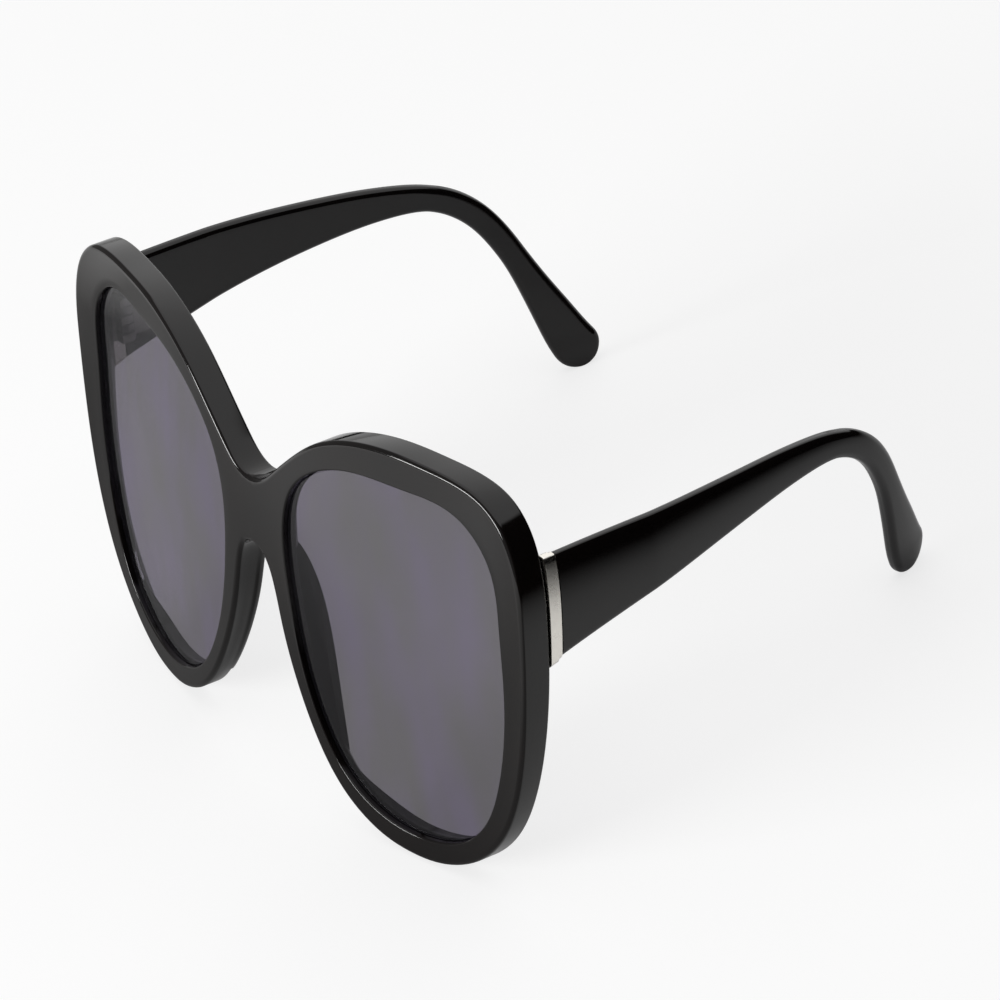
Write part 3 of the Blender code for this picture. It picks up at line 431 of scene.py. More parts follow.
def half_front(shape, fineness):
    """Return the front's left half as a grid: stations round the rim, points round its section.

    A section runs from the lens opening over the front face to the outline, down the outer wall,
    back over the rear face and down the opening's wall with its lens groove. The stations follow
    the outline and then close over the bridge, whose points the mirrored half shares. The rear
    face falls to the groove as a smooth step over the dish's width, and the dish fades low down.
    """
    sizes = shape.sizes
    outline = shape.outline()
    outer = outline(np.linspace(0.0, 0.5, fineness.outline + 1))
    outer[[0, -1], 0] = 0.0
    turn = np.cos(np.pi * np.arange(1, fineness.bridge) / fineness.bridge)
    low, high = outer[-1, 1], outer[0, 1]
    middle_z = (low + high) / 2 - turn * (high - low) / 2
    outer = np.vstack((outer, np.column_stack((np.zeros_like(middle_z), middle_z))))
    edge = shape.opening()(np.arange(4 * fineness.outline) / (4 * fineness.outline))
    inner = toward_opening(edge, outer)
    reach = np.linalg.norm(outer - inner, axis=1)
    loop = outline(np.arange(2 * fineness.outline) / (2 * fineness.outline))
    quarter = np.pi / 2 * np.arange(fineness.edge + 1) / fineness.edge

    def face(radius, chamfer, rise):
        """Rows from the opening's eased edge over the face to the outer rounded edge.

        They lie closer together towards the outline, and its own points are on the edge itself.
        """
        outer_rows = 1.0 - radius * (1.0 - np.sin(quarter)) / reach[:, None]
        inner_rows = chamfer / reach[:, None]
        ramp = 1.0 - (1.0 - np.arange(1, fineness.face) / fineness.face) ** 2
        middle_rows = inner_rows[:, -1:] * (1.0 - ramp) + outer_rows[:, :1] * ramp
        shares = np.clip(np.hstack((inner_rows, middle_rows, outer_rows)), 0.0, 1.0)
        plan = inner[:, None] + (outer - inner)[:, None] * shares[..., None]
        distance = distance_to_loop(plan, loop)
        distance[:fineness.outline + 1, -1] = 0.0
        drop = edge_drop(distance, radius)
        drop[:, :fineness.edge + 1] += rise
        return plan, drop

    chamfer = sizes.opening_edge * (1.0 - np.cos(quarter))
    plan, drop = face(sizes.front_edge, chamfer, sizes.opening_edge * (1.0 - np.sin(quarter)))
    front = at_depth(plan, shape.wrap(plan) + drop)
    lip = shape.depth(inner) - sizes.groove_lip - sizes.groove_width
    across = np.arange(fineness.edge + 1) / fineness.edge
    risen = smoothstep((inner[:, 1] - edge[:, 1].min()) / (DISH_LOW_SPAN_SHARE * sizes.opening_height))
    dish_share = DISH_LOW_DEPTH_SHARE + (DISH_DEPTH_SHARE - DISH_LOW_DEPTH_SHARE) * risen
    dish = (dish_share * lip)[:, None] * (1.0 - smoothstep(across))
    dish_width = np.minimum(sizes.dish_width, DISH_WIDTH_SHARE * reach)
    plan, drop = face(sizes.rear_edge, dish_width[:, None] * across, dish)
    rear = at_depth(plan, shape.wrap(plan) + shape.depth(plan) - drop)
    bottom = inner + outward_normals(inner) * sizes.groove_depth
    groove = np.stack((
        at_depth(inner, shape.wrap(inner) + sizes.groove_lip + sizes.groove_width),
        at_depth(bottom, shape.wrap(bottom) + shape.groove_middle),
        at_depth(inner, shape.wrap(inner) + sizes.groove_lip),
    ), axis=1)
    return np.concatenate((front, rear[:, ::-1], groove), axis=1)


def lens_grid(shape, lens, fineness):
    """Return a lens as a grid of rings: out over the domed front, over the bevel, back to the middle.

    A ring at the share s of the opening lies at the wrap's depth less dome times (1 - s^2).
    """
    sizes = shape.sizes
    stations = fineness.outline
    edge = shape.opening()(np.arange(stations) / stations)
    middle = edge.mean(axis=0)
    outward = outward_normals(edge)
    half_groove = sizes.groove_width / 2
    slip = sizes.clearance * math.hypot(sizes.groove_depth, half_groove) / half_groove
    body = edge - outward * sizes.clearance
    bevel = edge + outward * (sizes.groove_depth - slip)
    bevel_half = half_groove * (1.0 - (slip - sizes.clearance) / sizes.groove_depth)

    def ring(share, depth):
        plan = middle + (body - middle) * share
        return at_depth(plan, shape.wrap(plan) + depth - lens.dome * (1.0 - share ** 2))

    shares = np.linspace(0.0, 1.0, 5 * fineness.face)
    rings = [ring(share, shape.groove_middle - lens.thickness / 2) for share in shares]
    rings.append(ring(1.0, shape.groove_middle - bevel_half))
    rings.append(at_depth(bevel, shape.wrap(bevel) + shape.groove_middle))
    rings.append(ring(1.0, shape.groove_middle + bevel_half))
    rings += [ring(share, shape.groove_middle + lens.thickness / 2) for share in shares[::-1]]
    return np.array(rings)


def pad_grid(shape, pad, fineness):
    """Return the left nose pad as a grid: stations down the nose side, points round its section.

    The swell is e + (1 - e) sin(pi u)^p, with u skewed so that it peaks at the peak share. The
    pad is bonded on: its section starts inside the rim's wall and fairs out over it.
    """
    sizes = shape.sizes
    stations = fineness.bridge * 2
    share = (1.0 - np.cos(np.pi * np.arange(stations + 1) / stations)) / 2
    t = PAD_START_SHARE + (PAD_END_SHARE - PAD_START_SHARE) * share
    curve = shape.outline()
    plan = curve(t / 2)
    step = 1.0 / fineness.outline ** 2
    along = curve(t / 2 + step) - curve(t / 2 - step)
    normal = np.column_stack((-along[:, 1], along[:, 0]))
    normal /= np.linalg.norm(normal, axis=1)[:, None]
    skewed = share ** (math.log(0.5) / math.log(PAD_PEAK_SHARE))
    bulge = np.abs(np.sin(np.pi * skewed)) ** PAD_SWELL_POWER
    swell = PAD_END_HEIGHT_SHARE + (1.0 - PAD_END_HEIGHT_SHARE) * bulge
    reach = pad.reach * swell
    crest = pad.crest_inset * np.sqrt(swell)
    seat = np.full_like(share, -sizes.clearance / 2)
    root = np.full_like(share, -pad.root)
    skin = pad.skin * np.sqrt(swell)
    back_edge = -crest - pad.crest_width * swell
    rows = []
    for aside, back in PAD_FAIRING_SHARES:
        point = plan + normal * (aside * skin)[:, None]
        run = back * (shape.depth(point) - pad.setback)
        rows.append(at_depth(point, shape.wrap(point) + pad.setback + run))
    behind_rear = (
        (skin, PAD_ROOT_SHARE * reach),
        *((-inset * crest, height * reach) for inset, height in PAD_SLOPE_SHARES),
        (back_edge, PAD_BACK_SHARE * reach),
        (back_edge, root),
        (-crest / 2, root),
        (seat, root),
    )
    for aside, back in behind_rear:
        point = plan + normal * aside[:, None]
        rows.append(at_depth(point, shape.wrap(point) + shape.depth(point) + back))
    corners = np.stack(rows, axis=1)
    return rounded_rings(corners, PAD_CORNER_STEPS)


def rounded_rings(corners, steps):
    """Return rings through each ring's corners, rounded by cubics of the corners' own slopes.

    A corner's slope is half the step from the corner before it to the one after.
    """
    slopes = (np.roll(corners, -1, axis=1) - np.roll(corners, 1, axis=1)) / 2
    after = np.roll(corners, -1, axis=1)
    after_slopes = np.roll(slopes, -1, axis=1)
    u = (np.arange(steps) / steps)[:, None]
    fine = cubic(u, corners[:, :, None], after[:, :, None], slopes[:, :, None], after_slopes[:, :, None])
    return fine.reshape(len(corners), -1, 3)


class TempleShape:
    """The left temple as functions of the share of its run."""

    def __init__(self, front, sizes, cap):
        self.front = front
        self.sizes = sizes
        self.cap = cap
        self.middle_x = front.half_width - sizes.thickness / 2
        self.cap_y = front.rear_y + front.sizes.clearance / 2
        self.start_y = self.cap_y + cap.length + front.sizes.clearance

    def heading(self, share):
        """Downward angle in radians: a slight rise, then the bend over the ear."""
        return np.radians(smooth_through(HEADING_PLACE_SHARES, TEMPLE_HEADINGS_DEG)(share))

    def toe_in(self, share):
        """Distance closed in towards the head: T ((s - s0) / (1 - s0))^p."""
        run = np.clip((share - TOE_IN_FROM_SHARE) / (1.0 - TOE_IN_FROM_SHARE), 0.0, 1.0)
        return self.sizes.toe_in * run ** TOE_IN_POWER

    def height(self, share):
        """Height across the run: a long taper, the waist, then the paddle."""
        sizes = self.sizes
        taper = np.clip(1.0 - share / TAPER_TO_SHARE, 0.0, 1.0) ** TAPER_POWER
        paddle = smoothstep((share - PADDLE_FROM_SHARE) / (1.0 - PADDLE_FROM_SHARE))
        return sizes.waist + (sizes.height - sizes.waist) * taper + (sizes.paddle - sizes.waist) * paddle

    def frames(self, share, samples=1600):
        """Return centres, outward side vectors and upward vectors at shares of the run.

        The centres add up the heading's cosines and sines over small steps of the length.
        """
        fine = np.arange(samples + 1) / samples
        step = self.sizes.length / samples
        heading = self.heading(fine)
        inward = np.gradient(self.toe_in(fine), step)
        forward = np.sqrt(1.0 - inward ** 2)
        rates = np.column_stack((np.cos(heading) * forward, -np.sin(heading) * forward))
        run = np.vstack((np.zeros(2), np.cumsum((rates[1:] + rates[:-1]) / 2 * step, axis=0)))
        centres = np.column_stack((
            self.middle_x - self.toe_in(share),
            self.start_y + np.interp(share, fine, run[:, 0]),
            self.sizes.level + np.interp(share, fine, run[:, 1]),
        ))
        square = smoothstep(share / SQUARE_END_SHARE)
        pitch = self.heading(share) * square
        yaw = np.arcsin(np.interp(share, fine, inward)) * square
        tangents = np.column_stack((
            -np.sin(yaw) * np.cos(pitch), np.cos(yaw) * np.cos(pitch), -np.sin(pitch)))
        sides = np.column_stack((np.cos(yaw), np.sin(yaw), np.zeros_like(yaw)))
        return centres, sides, np.cross(sides, tangents)


def crowned_section(width, height, corner, crown, steps=9):
    """Return points round a rounded rectangle for each width and height.

    Its outer side falls away by crown times v^2 above the middle and half of that below, where v
    is the share of the half height, in step with how far out the point lies.
    """
    radius = np.minimum(corner, LARGEST_CORNER_SHARE * np.minimum(width, height))
    angles = np.pi / 2 * np.arange(steps) / (steps - 1)
    quarters = []
    for turn, (a, b) in enumerate(((1, 1), (-1, 1), (-1, -1), (1, -1))):
        angle = angles + turn * np.pi / 2
        x = a * (width / 2 - radius)[:, None] + radius[:, None] * np.cos(angle)
        z = b * (height / 2 - radius)[:, None] + radius[:, None] * np.sin(angle)
        quarters.append(np.stack((x, z), axis=-1))
    rows = []
    between = (np.arange(1, 2 * steps) / (2 * steps))[:, None]
    for turn, quarter in enumerate(quarters):
        following = quarters[(turn + 1) % 4]
        rows.append(quarter)
        rows.append(quarter[:, -1:] * (1.0 - between) + following[:, :1] * between)
    section = np.concatenate(rows, axis=1)
    out = np.clip(section[..., 0] / (width / 2)[:, None], 0.0, 1.0)
    level = section[..., 1] / (height / 2)[:, None]
    fall = np.where(level > 0.0, level ** 2, level ** 2 / 2)
    section[..., 0] -= crown[:, None] * out * fall
    return section


def swept(frames, section):
    """Place each station's section on its frame: centre + x side + z up."""
    centres, sides, ups = frames
    return centres[:, None] + sides[:, None] * section[..., :1] + ups[:, None] * section[..., 1:]


def temple_grid(temple, fineness):
    """Return the left temple as rings from its round tip to its front end, then down the channel.

    The tip closes as a quarter round: height times cos, run times sin of the same angle.
    """
    sizes = temple.sizes
    clearance = temple.front.sizes.clearance
    straight = (1.0 - TIP_ROUND_SHARE) * np.arange(fineness.temple) / fineness.temple
    turn = np.pi / 2 * np.arange(4 * fineness.edge) / (4 * fineness.edge)
    share = np.concatenate((straight, 1.0 - TIP_ROUND_SHARE * (1.0 - np.sin(turn))))
    end = np.concatenate((np.ones(fineness.temple), np.cos(turn)))
    height = temple.height(share) * end
    width = sizes.thickness * np.sqrt(end)
    crown = sizes.crown * np.sqrt(height / sizes.height)
    section = crowned_section(width, height, sizes.corner, crown)
    skin = swept(temple.frames(share), section)
    depth = CORE_END_SHARE + clearance / sizes.length
    share = depth * np.arange(fineness.bridge) / (fineness.bridge - 1)
    width = np.full_like(share, sizes.core_width + 2 * clearance)
    height = np.full_like(share, sizes.core_height + 2 * clearance)
    channel = crowned_section(width, height, sizes.core_width / 3, np.zeros_like(share))
    return np.concatenate((skin[::-1], swept(temple.frames(share), channel)))


def cap_grid(temple):
    """Return the left end cap as rings: its stepped outside, then the core's window.

    A ring's height carries the temple's own taper on towards the front.
    """
    cap = temple.cap
    sizes = temple.sizes
    clearance = temple.front.sizes.clearance
    end_y = temple.cap_y + cap.length
    step_y = end_y - cap.ledge
    near_end = temple.height(0.0) - temple.height(CAP_TAPER_PROBE_SHARE)
    growth = near_end / (CAP_TAPER_PROBE_SHARE * sizes.length)
    sink = math.tan(-temple.heading(0.0))
    y = np.array((temple.cap_y, step_y, step_y, end_y, end_y, temple.cap_y))
    proud = np.array((cap.proud, cap.proud, cap.ledge_proud, cap.ledge_proud, 0.0, 0.0))
    outside = np.array((True, True, True, True, False, False))
    ahead = np.where(outside, temple.start_y - y, 0.0)
    width = np.where(outside, sizes.thickness + proud, sizes.core_width + 2 * clearance)
    height = np.where(outside, sizes.height + growth * ahead + 2 * proud,
                      sizes.core_height + 2 * clearance)
    corner = np.where(outside, sizes.corner, sizes.core_width / 3)
    crown = np.where(outside, sizes.crown, 0.0)
    section = crowned_section(width, height, corner, crown)
    x = temple.middle_x + proud[:, None] / 2 + section[..., 0]
    z = sizes.level - (sink * ahead)[:, None] + section[..., 1]
    return np.stack((x, np.broadcast_to(y[:, None], x.shape), z), axis=-1)


def grid_faces(rings, points, closed_rings=False):
    """Return the quads of a grid whose rings are closed: (i, j) to (i, j + 1) and (i + 1, j)."""
    i = np.arange(rings if closed_rings else rings - 1)[:, None]
    j = np.arange(points)[None, :]
    ahead = (i + 1) % rings
    beside = (j + 1) % points
    corners = (i * points + j, i * points + beside, ahead * points + beside, ahead * points + j)
    return np.stack(np.broadcast_arrays(*corners), axis=-1).reshape(-1, 4)


def standing(points):
    """Lean points of the front's frame back and move them to where the pair stands.

    The pivot of the left hinge in that frame has to fall on the packed model's hinge.
    """
    shape = FrontShape(bpy.context.scene.sunglasses_front)
    level = bpy.context.scene.sunglasses_temple.level
    barrel = HINGE_PLACE.x
    hinge_y = shape.rear_y + 2 * shape.sizes.clearance + BARREL_RADIUS
    turn = Matrix.Rotation(-LEAN, 3, "X")
    shift = HINGE_PLACE - turn @ Vector((barrel, hinge_y, level))
    return points @ np.array(turn).T + np.array(shift)


def new_piece(name, grids, body, node, material, closed=False, side=1, mirror=False, sharp_deg=40.0):
    """Make one closed mesh of a grid of rings, dress it, and let it stand for its node.

    A grid whose rings don't close on each other gets a flat face at each end.
    """
    rings, points = grids.shape[:2]
    places = grids.reshape(-1, 3) * (side, 1.0, 1.0)
    faces = grid_faces(rings, points, closed)
    if mirror:
        places = np.vstack((places, places * (-1.0, 1.0, 1.0)))
        faces = np.vstack((faces, faces[:, ::-1] + rings * points))
    mesh = bpy.data.meshes.new(name)
    mesh.from_pydata(standing(places).tolist(), [], faces.tolist())
    bm = bmesh.new()
    bm.from_mesh(mesh)
    if not closed:
        for start in (0, (rings - 1) * points):
            bm.verts.ensure_lookup_table()
            bm.faces.new([bm.verts[start + index] for index in range(points)])
    bmesh.ops.remove_doubles(bm, verts=bm.verts, dist=MERGE)
    drop_inner_wall(bm)
    bmesh.ops.recalc_face_normals(bm, faces=bm.faces)
    bm.to_mesh(mesh)
    bm.free()
    mesh.shade_smooth()
    mesh.set_sharp_from_angle(angle=math.radians(sharp_deg))
    piece = bpy.data.objects.new(name, mesh)
    bpy.context.scene.collection.objects.link(piece)
    return dress(piece, body, node, material)


def new_pair(name, grid, body, node, material, **settings):
    """Make a piece on each side and return both; their names have left or right in place of {}."""
    return [new_piece(name.format(word), grid, body.format(word), node.format(word), material,
                      side=side, **settings) for side, word in SIDES]


def drop_inner_wall(bm):
    """Take out faces that the two halves share, where the bridge's section meets its mirror."""
    inner = [face for face in bm.faces if all(len(edge.link_faces) > 2 for edge in face.edges)]
    bmesh.ops.delete(bm, geom=inner, context="FACES_ONLY")


def dress(piece, body, node, material):
    """Give a piece its material, its body and the node that it stands for."""
    piece.data.materials.clear()
    piece.data.materials.append(material)
    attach(piece, body)
    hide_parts(node)
    return piece


def ease_edges(piece, width, segments, least_deg):
    """Round the edges of a piece that turn by more than an angle."""
    bevel = piece.modifiers.new("eased edges", "BEVEL")
    bevel.width = width
    bevel.segments = segments
    bevel.limit_method = "ANGLE"
    bevel.angle_limit = math.radians(least_deg)


def add_node(tree, kind, inputs=None, **settings):
    """Add a node with its settings, and set or link its inputs."""
    node = tree.nodes.new(kind)
    for name, value in settings.items():
        setattr(node, name, value)
    for socket, value in (inputs or {}).items():
        if isinstance(value, bpy.types.NodeSocket):
            tree.links.new(value, node.inputs[socket])
        else:
            node.inputs[socket].default_value = value
    return node


def add_noise(tree, place, spacing, detail):
    """Add a noise whose spots lie about a spacing apart, and return its value."""
    noise = add_node(tree, "ShaderNodeTexNoise", {
        "Vector": place, "Scale": 1 / spacing, "Detail": detail})
    return noise.outputs["Fac"]


def add_range(tree, value, reach, results, smooth=False):
    """Map a value from its reach to results, straight or as a smooth step."""
    mapped = add_node(tree, "ShaderNodeMapRange", {
        "Value": value, "From Min": reach[0], "From Max": reach[1],
        "To Min": results[0], "To Max": results[1],
    }, interpolation_type="SMOOTHSTEP" if smooth else "LINEAR")
    return mapped.outputs["Result"]


def add_math(tree, operation, first, second):
    """Join two values by an operation."""
    return add_node(tree, "ShaderNodeMath", {0: first, 1: second}, operation=operation).outputs["Value"]


def add_tint(tree, share, first, second):
    """Blend two colours by a share."""
    tint = add_node(tree, "ShaderNodeMix", {
        "Factor": share, "A": (*first, 1.0), "B": (*second, 1.0)}, data_type="RGBA")
    return tint.outputs["Result"]


def add_bump(tree, height, strength, distance, under=None):
    """Add a bump of a height map, over another bump's normal where that is given."""
    inputs = {"Height": height, "Strength": strength, "Distance": distance}
    if under is not None:
        inputs["Normal"] = under
    return add_node(tree, "ShaderNodeBump", inputs).outputs["Normal"]


def add_cut_out(tree, lit, seen):
    """Show one shader to the light, and another to the camera, also through glass."""
    path = add_node(tree, "ShaderNodeLightPath")
    through = add_math(tree, "MAXIMUM", path.outputs["Is Camera Ray"], path.outputs["Is Transmission Ray"])
    return add_node(tree, "ShaderNodeMixShader", {"Fac": through, 1: lit, 2: seen}).outputs["Shader"]


def start_material(name):
    """Return a new named material, its emptied node tree and the object's own coordinates."""
    made = bpy.data.materials.new(name)
    made.use_nodes = True
    tree = made.node_tree
    tree.nodes.clear()
    return made, tree, add_node(tree, "ShaderNodeTexCoord").outputs["Object"]


def polished_acetate(colours):
    """Return black cellulose acetate, tumbled and polished.

    To the eye it is a deep black with faint brownish clouds, and a wet gloss that is broken a
    little by the polish: shallow waves some 6 mm apart and a finer orange peel.
    """
    material, tree, place = start_material("polished_black_acetate")
    clouds = add_noise(tree, place, 14 * MM, 2.0)
    haze = add_noise(tree, place, 3 * MM, 4.0)
    waves = add_noise(tree, place, 6 * MM, 1.0)
    peel = add_noise(tree, place, 0.8 * MM, 2.0)
    wavy = add_bump(tree, waves, 0.5, 0.02 * MM)
    shader = add_node(tree, "ShaderNodeBsdfPrincipled", {
        "Base Color": add_tint(tree, clouds, colours.acetate, colours.acetate_warm),
        "Roughness": add_range(tree, haze, (0.0, 1.0), (0.045, 0.12)),
        "IOR": 1.48,
        "Normal": add_bump(tree, peel, 0.25, 0.002 * MM, under=wavy),
    })
    add_node(tree, "ShaderNodeOutputMaterial", {"Surface": shader.outputs["BSDF"]})
    return material


def smoked_polycarbonate(colours):
    """Return smoked polycarbonate, cast and hard-coated.

    To the eye it is a neutral grey sheet that lets about an eighth of the light through, with
    faint violet streaks down it from the tint bath, some 7 mm apart. Each of a lens's two faces
    passes the share of light that its pigment leaves, and tints it.
    """
    material, tree, place = start_material("smoked_polycarbonate")
    drawn = add_node(tree, "ShaderNodeMapping", {"Vector": place, "Scale": (1.0, 1.0, 0.12)})
    streaks = add_noise(tree, drawn.outputs["Vector"], 7 * MM, 2.0)
    contrast = add_range(tree, streaks, (0.35, 0.65), (0.0, 1.0))
    clear = add_node(tree, "ShaderNodeBsdfTransparent", {
        "Color": add_tint(tree, contrast, colours.lens, colours.lens_violet)})
    gloss = add_node(tree, "ShaderNodeBsdfPrincipled", {
        "Base Color": (*colours.lens_body, 1.0),
        "Roughness": 0.03,
        "IOR": 1.586,
    })
    sheet = add_node(tree, "ShaderNodeMixShader", {
        "Fac": LENS_PIGMENT_SHARE, 1: clear.outputs["BSDF"], 2: gloss.outputs["BSDF"]})
    add_node(tree, "ShaderNodeOutputMaterial", {"Surface": sheet.outputs["Shader"]})
    return material


def grained_metal(name, tint, stretch, spacing, detail, roughness, relief):
    """Return a metal whose gloss and fine relief follow one noise, drawn out by a stretch."""
    material, tree, place = start_material(name)
    drawn = add_node(tree, "ShaderNodeMapping", {"Vector": place, "Scale": stretch})
    grain = add_noise(tree, drawn.outputs["Vector"], spacing, detail)
    shader = add_node(tree, "ShaderNodeBsdfPrincipled", {
        "Base Color": (*tint, 1.0),
        "Metallic": 1.0,
        "Roughness": add_range(tree, grain, (0.0, 1.0), roughness),
        "Normal": add_bump(tree, grain, 0.3, relief),
    })
    add_node(tree, "ShaderNodeOutputMaterial", {"Surface": shader.outputs["BSDF"]})
    return material


def nickel_plate(colours):
    """Return nickel plate over cast zinc, buffed: a warm bright metal with a soft even sheen."""
    return grained_metal("polished_nickel_plate", colours.plating, (1.0, 1.0, 1.0),
                         1.5 * MM, 3.0, (0.20, 0.32), 0.004 * MM)


def tumbled_steel(colours):
    """Return stainless steel, drawn and tumbled: a grey metal with a soft grain 0.15 mm fine."""
    return grained_metal("tumbled_stainless_steel", colours.steel, (1.0, 0.1, 1.0),
                         0.15 * MM, 2.0, (0.22, 0.38), 0.003 * MM)


def sheet_on_table(colours):
    """Return matt white paper, laid on a dark table top.

    To the eye it is plain white with the pair's soft shadow. The sheet fades out from 95 to
    182 mm behind and beside the wearer's left temple. Before the rims its white carries painted
    shade, down to 0.4 of its white, for the pair's shadow on the floor as the rims reflect it. The
    camera sees a cut-out of it: the whole floor white, with that shadow.
    """
    material, tree, place = start_material("matt_white_paper")
    axes = add_node(tree, "ShaderNodeSeparateXYZ", {"Vector": place}).outputs
    away = add_node(tree, "ShaderNodeVectorMath", {0: place, 1: (0.82, 0.57, 0.0)}, operation="DOT_PRODUCT")
    sheet = add_range(tree, away.outputs["Value"], (95 * MM, 182 * MM), (1.0, 0.0), smooth=True)
    # Painted shade on the sheet: darkened before the rims for the pair's shadow that the rims reflect, white
    # behind the rims and far to the left
    before = add_range(tree, axes["Y"], (-180 * MM, -100 * MM), (0.85, 0.40), smooth=True)
    behind = add_range(tree, axes["Y"], (-58 * MM, -44 * MM), (0.0, 1.0), smooth=True)
    beside = add_range(tree, axes["X"], (-225 * MM, -175 * MM), (1.0, 0.0), smooth=True)
    painted_shade_near_rims = add_math(tree, "MAXIMUM", before, behind)
    painted_shade_mask = add_math(tree, "MAXIMUM", painted_shade_near_rims, beside)
    share = add_math(tree, "MULTIPLY", sheet, painted_shade_mask)
    paper = add_node(tree, "ShaderNodeBsdfDiffuse", {
        "Color": add_tint(tree, share, (0.0, 0.0, 0.0), colours.floor)})
    shaded = add_node(tree, "ShaderNodeBsdfDiffuse", {
        "Color": (CUT_OUT_SHADE, CUT_OUT_SHADE, CUT_OUT_SHADE, 1.0)})
    glowing = add_node(tree, "ShaderNodeEmission", {"Strength": CUT_OUT_GLOW})
    seen = add_node(tree, "ShaderNodeAddShader", {0: shaded.outputs["BSDF"], 1: glowing.outputs["Emission"]})
    both = add_cut_out(tree, paper.outputs["BSDF"], seen.outputs["Shader"])
    add_node(tree, "ShaderNodeOutputMaterial", {"Surface": both})
    return material


def existing_or(name, make, *given):
    """Return the material of that name, made on its first use."""
    return bpy.data.materials.get(name) or make(*given)


def acetate(context):
    """Return the acetate that front, pads and temples share."""
    return existing_or("polished_black_acetate", polished_acetate, context.scene.sunglasses_finish)


def steel(context):
    """Return the steel that hinges and core wires share."""
    return existing_or("tumbled_stainless_steel", tumbled_steel, context.scene.sunglasses_finish)


def left_temple(context):
    """Return the left temple's shape from the sizes in the sidebar."""
    scene = context.scene
    front = FrontShape(scene.sunglasses_front)
    return TempleShape(front, scene.sunglasses_temple, scene.sunglasses_cap)


class SUNGLASSES_OT_front(Operator):
    """Make the polished front"""

    bl_idname = "sunglasses.front"
    bl_label = "Front"
    bl_options = {"UNDO"}

    def execute(self, context):
        shape = FrontShape(context.scene.sunglasses_front)
        grid = half_front(shape, context.scene.sunglasses_fineness)
        new_piece("polished_front", grid, "front", "front_frame", acetate(context),
                  closed=True, mirror=True)
        return {"FINISHED"}


class SUNGLASSES_OT_lenses(Operator):
    """Make the two smoked lenses"""

    bl_idname = "sunglasses.lenses"
    bl_label = "Lenses"
    bl_options = {"UNDO"}

    def execute(self, context):
        scene = context.scene
        grid = lens_grid(FrontShape(scene.sunglasses_front), scene.sunglasses_lens,
                         scene.sunglasses_fineness)
        new_pair("smoked_lens_{}", grid, "front", "lens_{}",
                 smoked_polycarbonate(scene.sunglasses_finish), sharp_deg=25.0)
        return {"FINISHED"}


class SUNGLASSES_OT_pads(Operator):
    """Make the two nose pads"""

    bl_idname = "sunglasses.pads"
    bl_label = "Nose pads"
    bl_options = {"UNDO"}

    def execute(self, context):
        scene = context.scene
        grid = pad_grid(FrontShape(scene.sunglasses_front), scene.sunglasses_pad,
                        scene.sunglasses_fineness)
        new_pair("raised_nose_pad_{}", grid, "front", "nose_pad_{}", acetate(context), sharp_deg=60.0)
        return {"FINISHED"}


class SUNGLASSES_OT_temples(Operator):
    """Make the two temples"""

    bl_idname = "sunglasses.temples"
    bl_label = "Temples"
    bl_options = {"UNDO"}

    def execute(self, context):
        grid = temple_grid(left_temple(context), context.scene.sunglasses_fineness)
        new_pair("polished_temple_{}", grid, "{}_temple", "temple_{}", acetate(context))
        return {"FINISHED"}


class SUNGLASSES_OT_caps(Operator):
    """Make the two plated end caps"""

    bl_idname = "sunglasses.caps"
    bl_label = "End caps"
    bl_options = {"UNDO"}

    def execute(self, context):
        scene = context.scene
        caps = new_pair("plated_end_cap_{}", cap_grid(left_temple(context)), "{}_temple",
                        "temple_trim_{}", nickel_plate(scene.sunglasses_finish), closed=True)
        for cap in caps:
            ease_edges(cap, scene.sunglasses_cap.edge, segments=3, least_deg=50.0)
        return {"FINISHED"}


class SUNGLASSES_OT_hinges(Operator):
    """Finish the hinges and the core wires"""

    bl_idname = "sunglasses.hinges"
    bl_label = "Hinges"
    bl_options = {"UNDO"}

    def execute(self, context):
        bodies = frame["record"]["behaviour"]["bodies"]
        owner = {node: body for body, nodes in bodies.items() for node in nodes}
        for name in sorted(owner):
            if name.startswith("hinge_"):
                self.ease(context, name, owner[name])
            if name.startswith("temple_core_"):
                core = frame["nodes"][name]
                core.data.materials.clear()
                core.data.materials.append(steel(context))
        return {"FINISHED"}

    def ease(self, context, name, body):
        """Stand a copy of a hinge's node in for it, with its edges eased by a bevel."""
        mesh = frame["nodes"][name].data.copy()
        bm = bmesh.new()
        bm.from_mesh(mesh)
        bmesh.ops.remove_doubles(bm, verts=bm.verts, dist=MERGE)
        bmesh.ops.dissolve_limit(bm, angle_limit=math.radians(FLAT_DEG), verts=bm.verts, edges=bm.edges)
        bm.to_mesh(mesh)
        bm.free()
        mesh.shade_smooth()
        mesh.set_sharp_from_angle(angle=math.radians(30.0))
        piece = bpy.data.objects.new(f"eased_{name}", mesh)
        context.scene.collection.objects.link(piece)
        dress(piece, body, name, steel(context))
        ease_edges(piece, context.scene.sunglasses_hinge.edge, segments=2, least_deg=40.0)


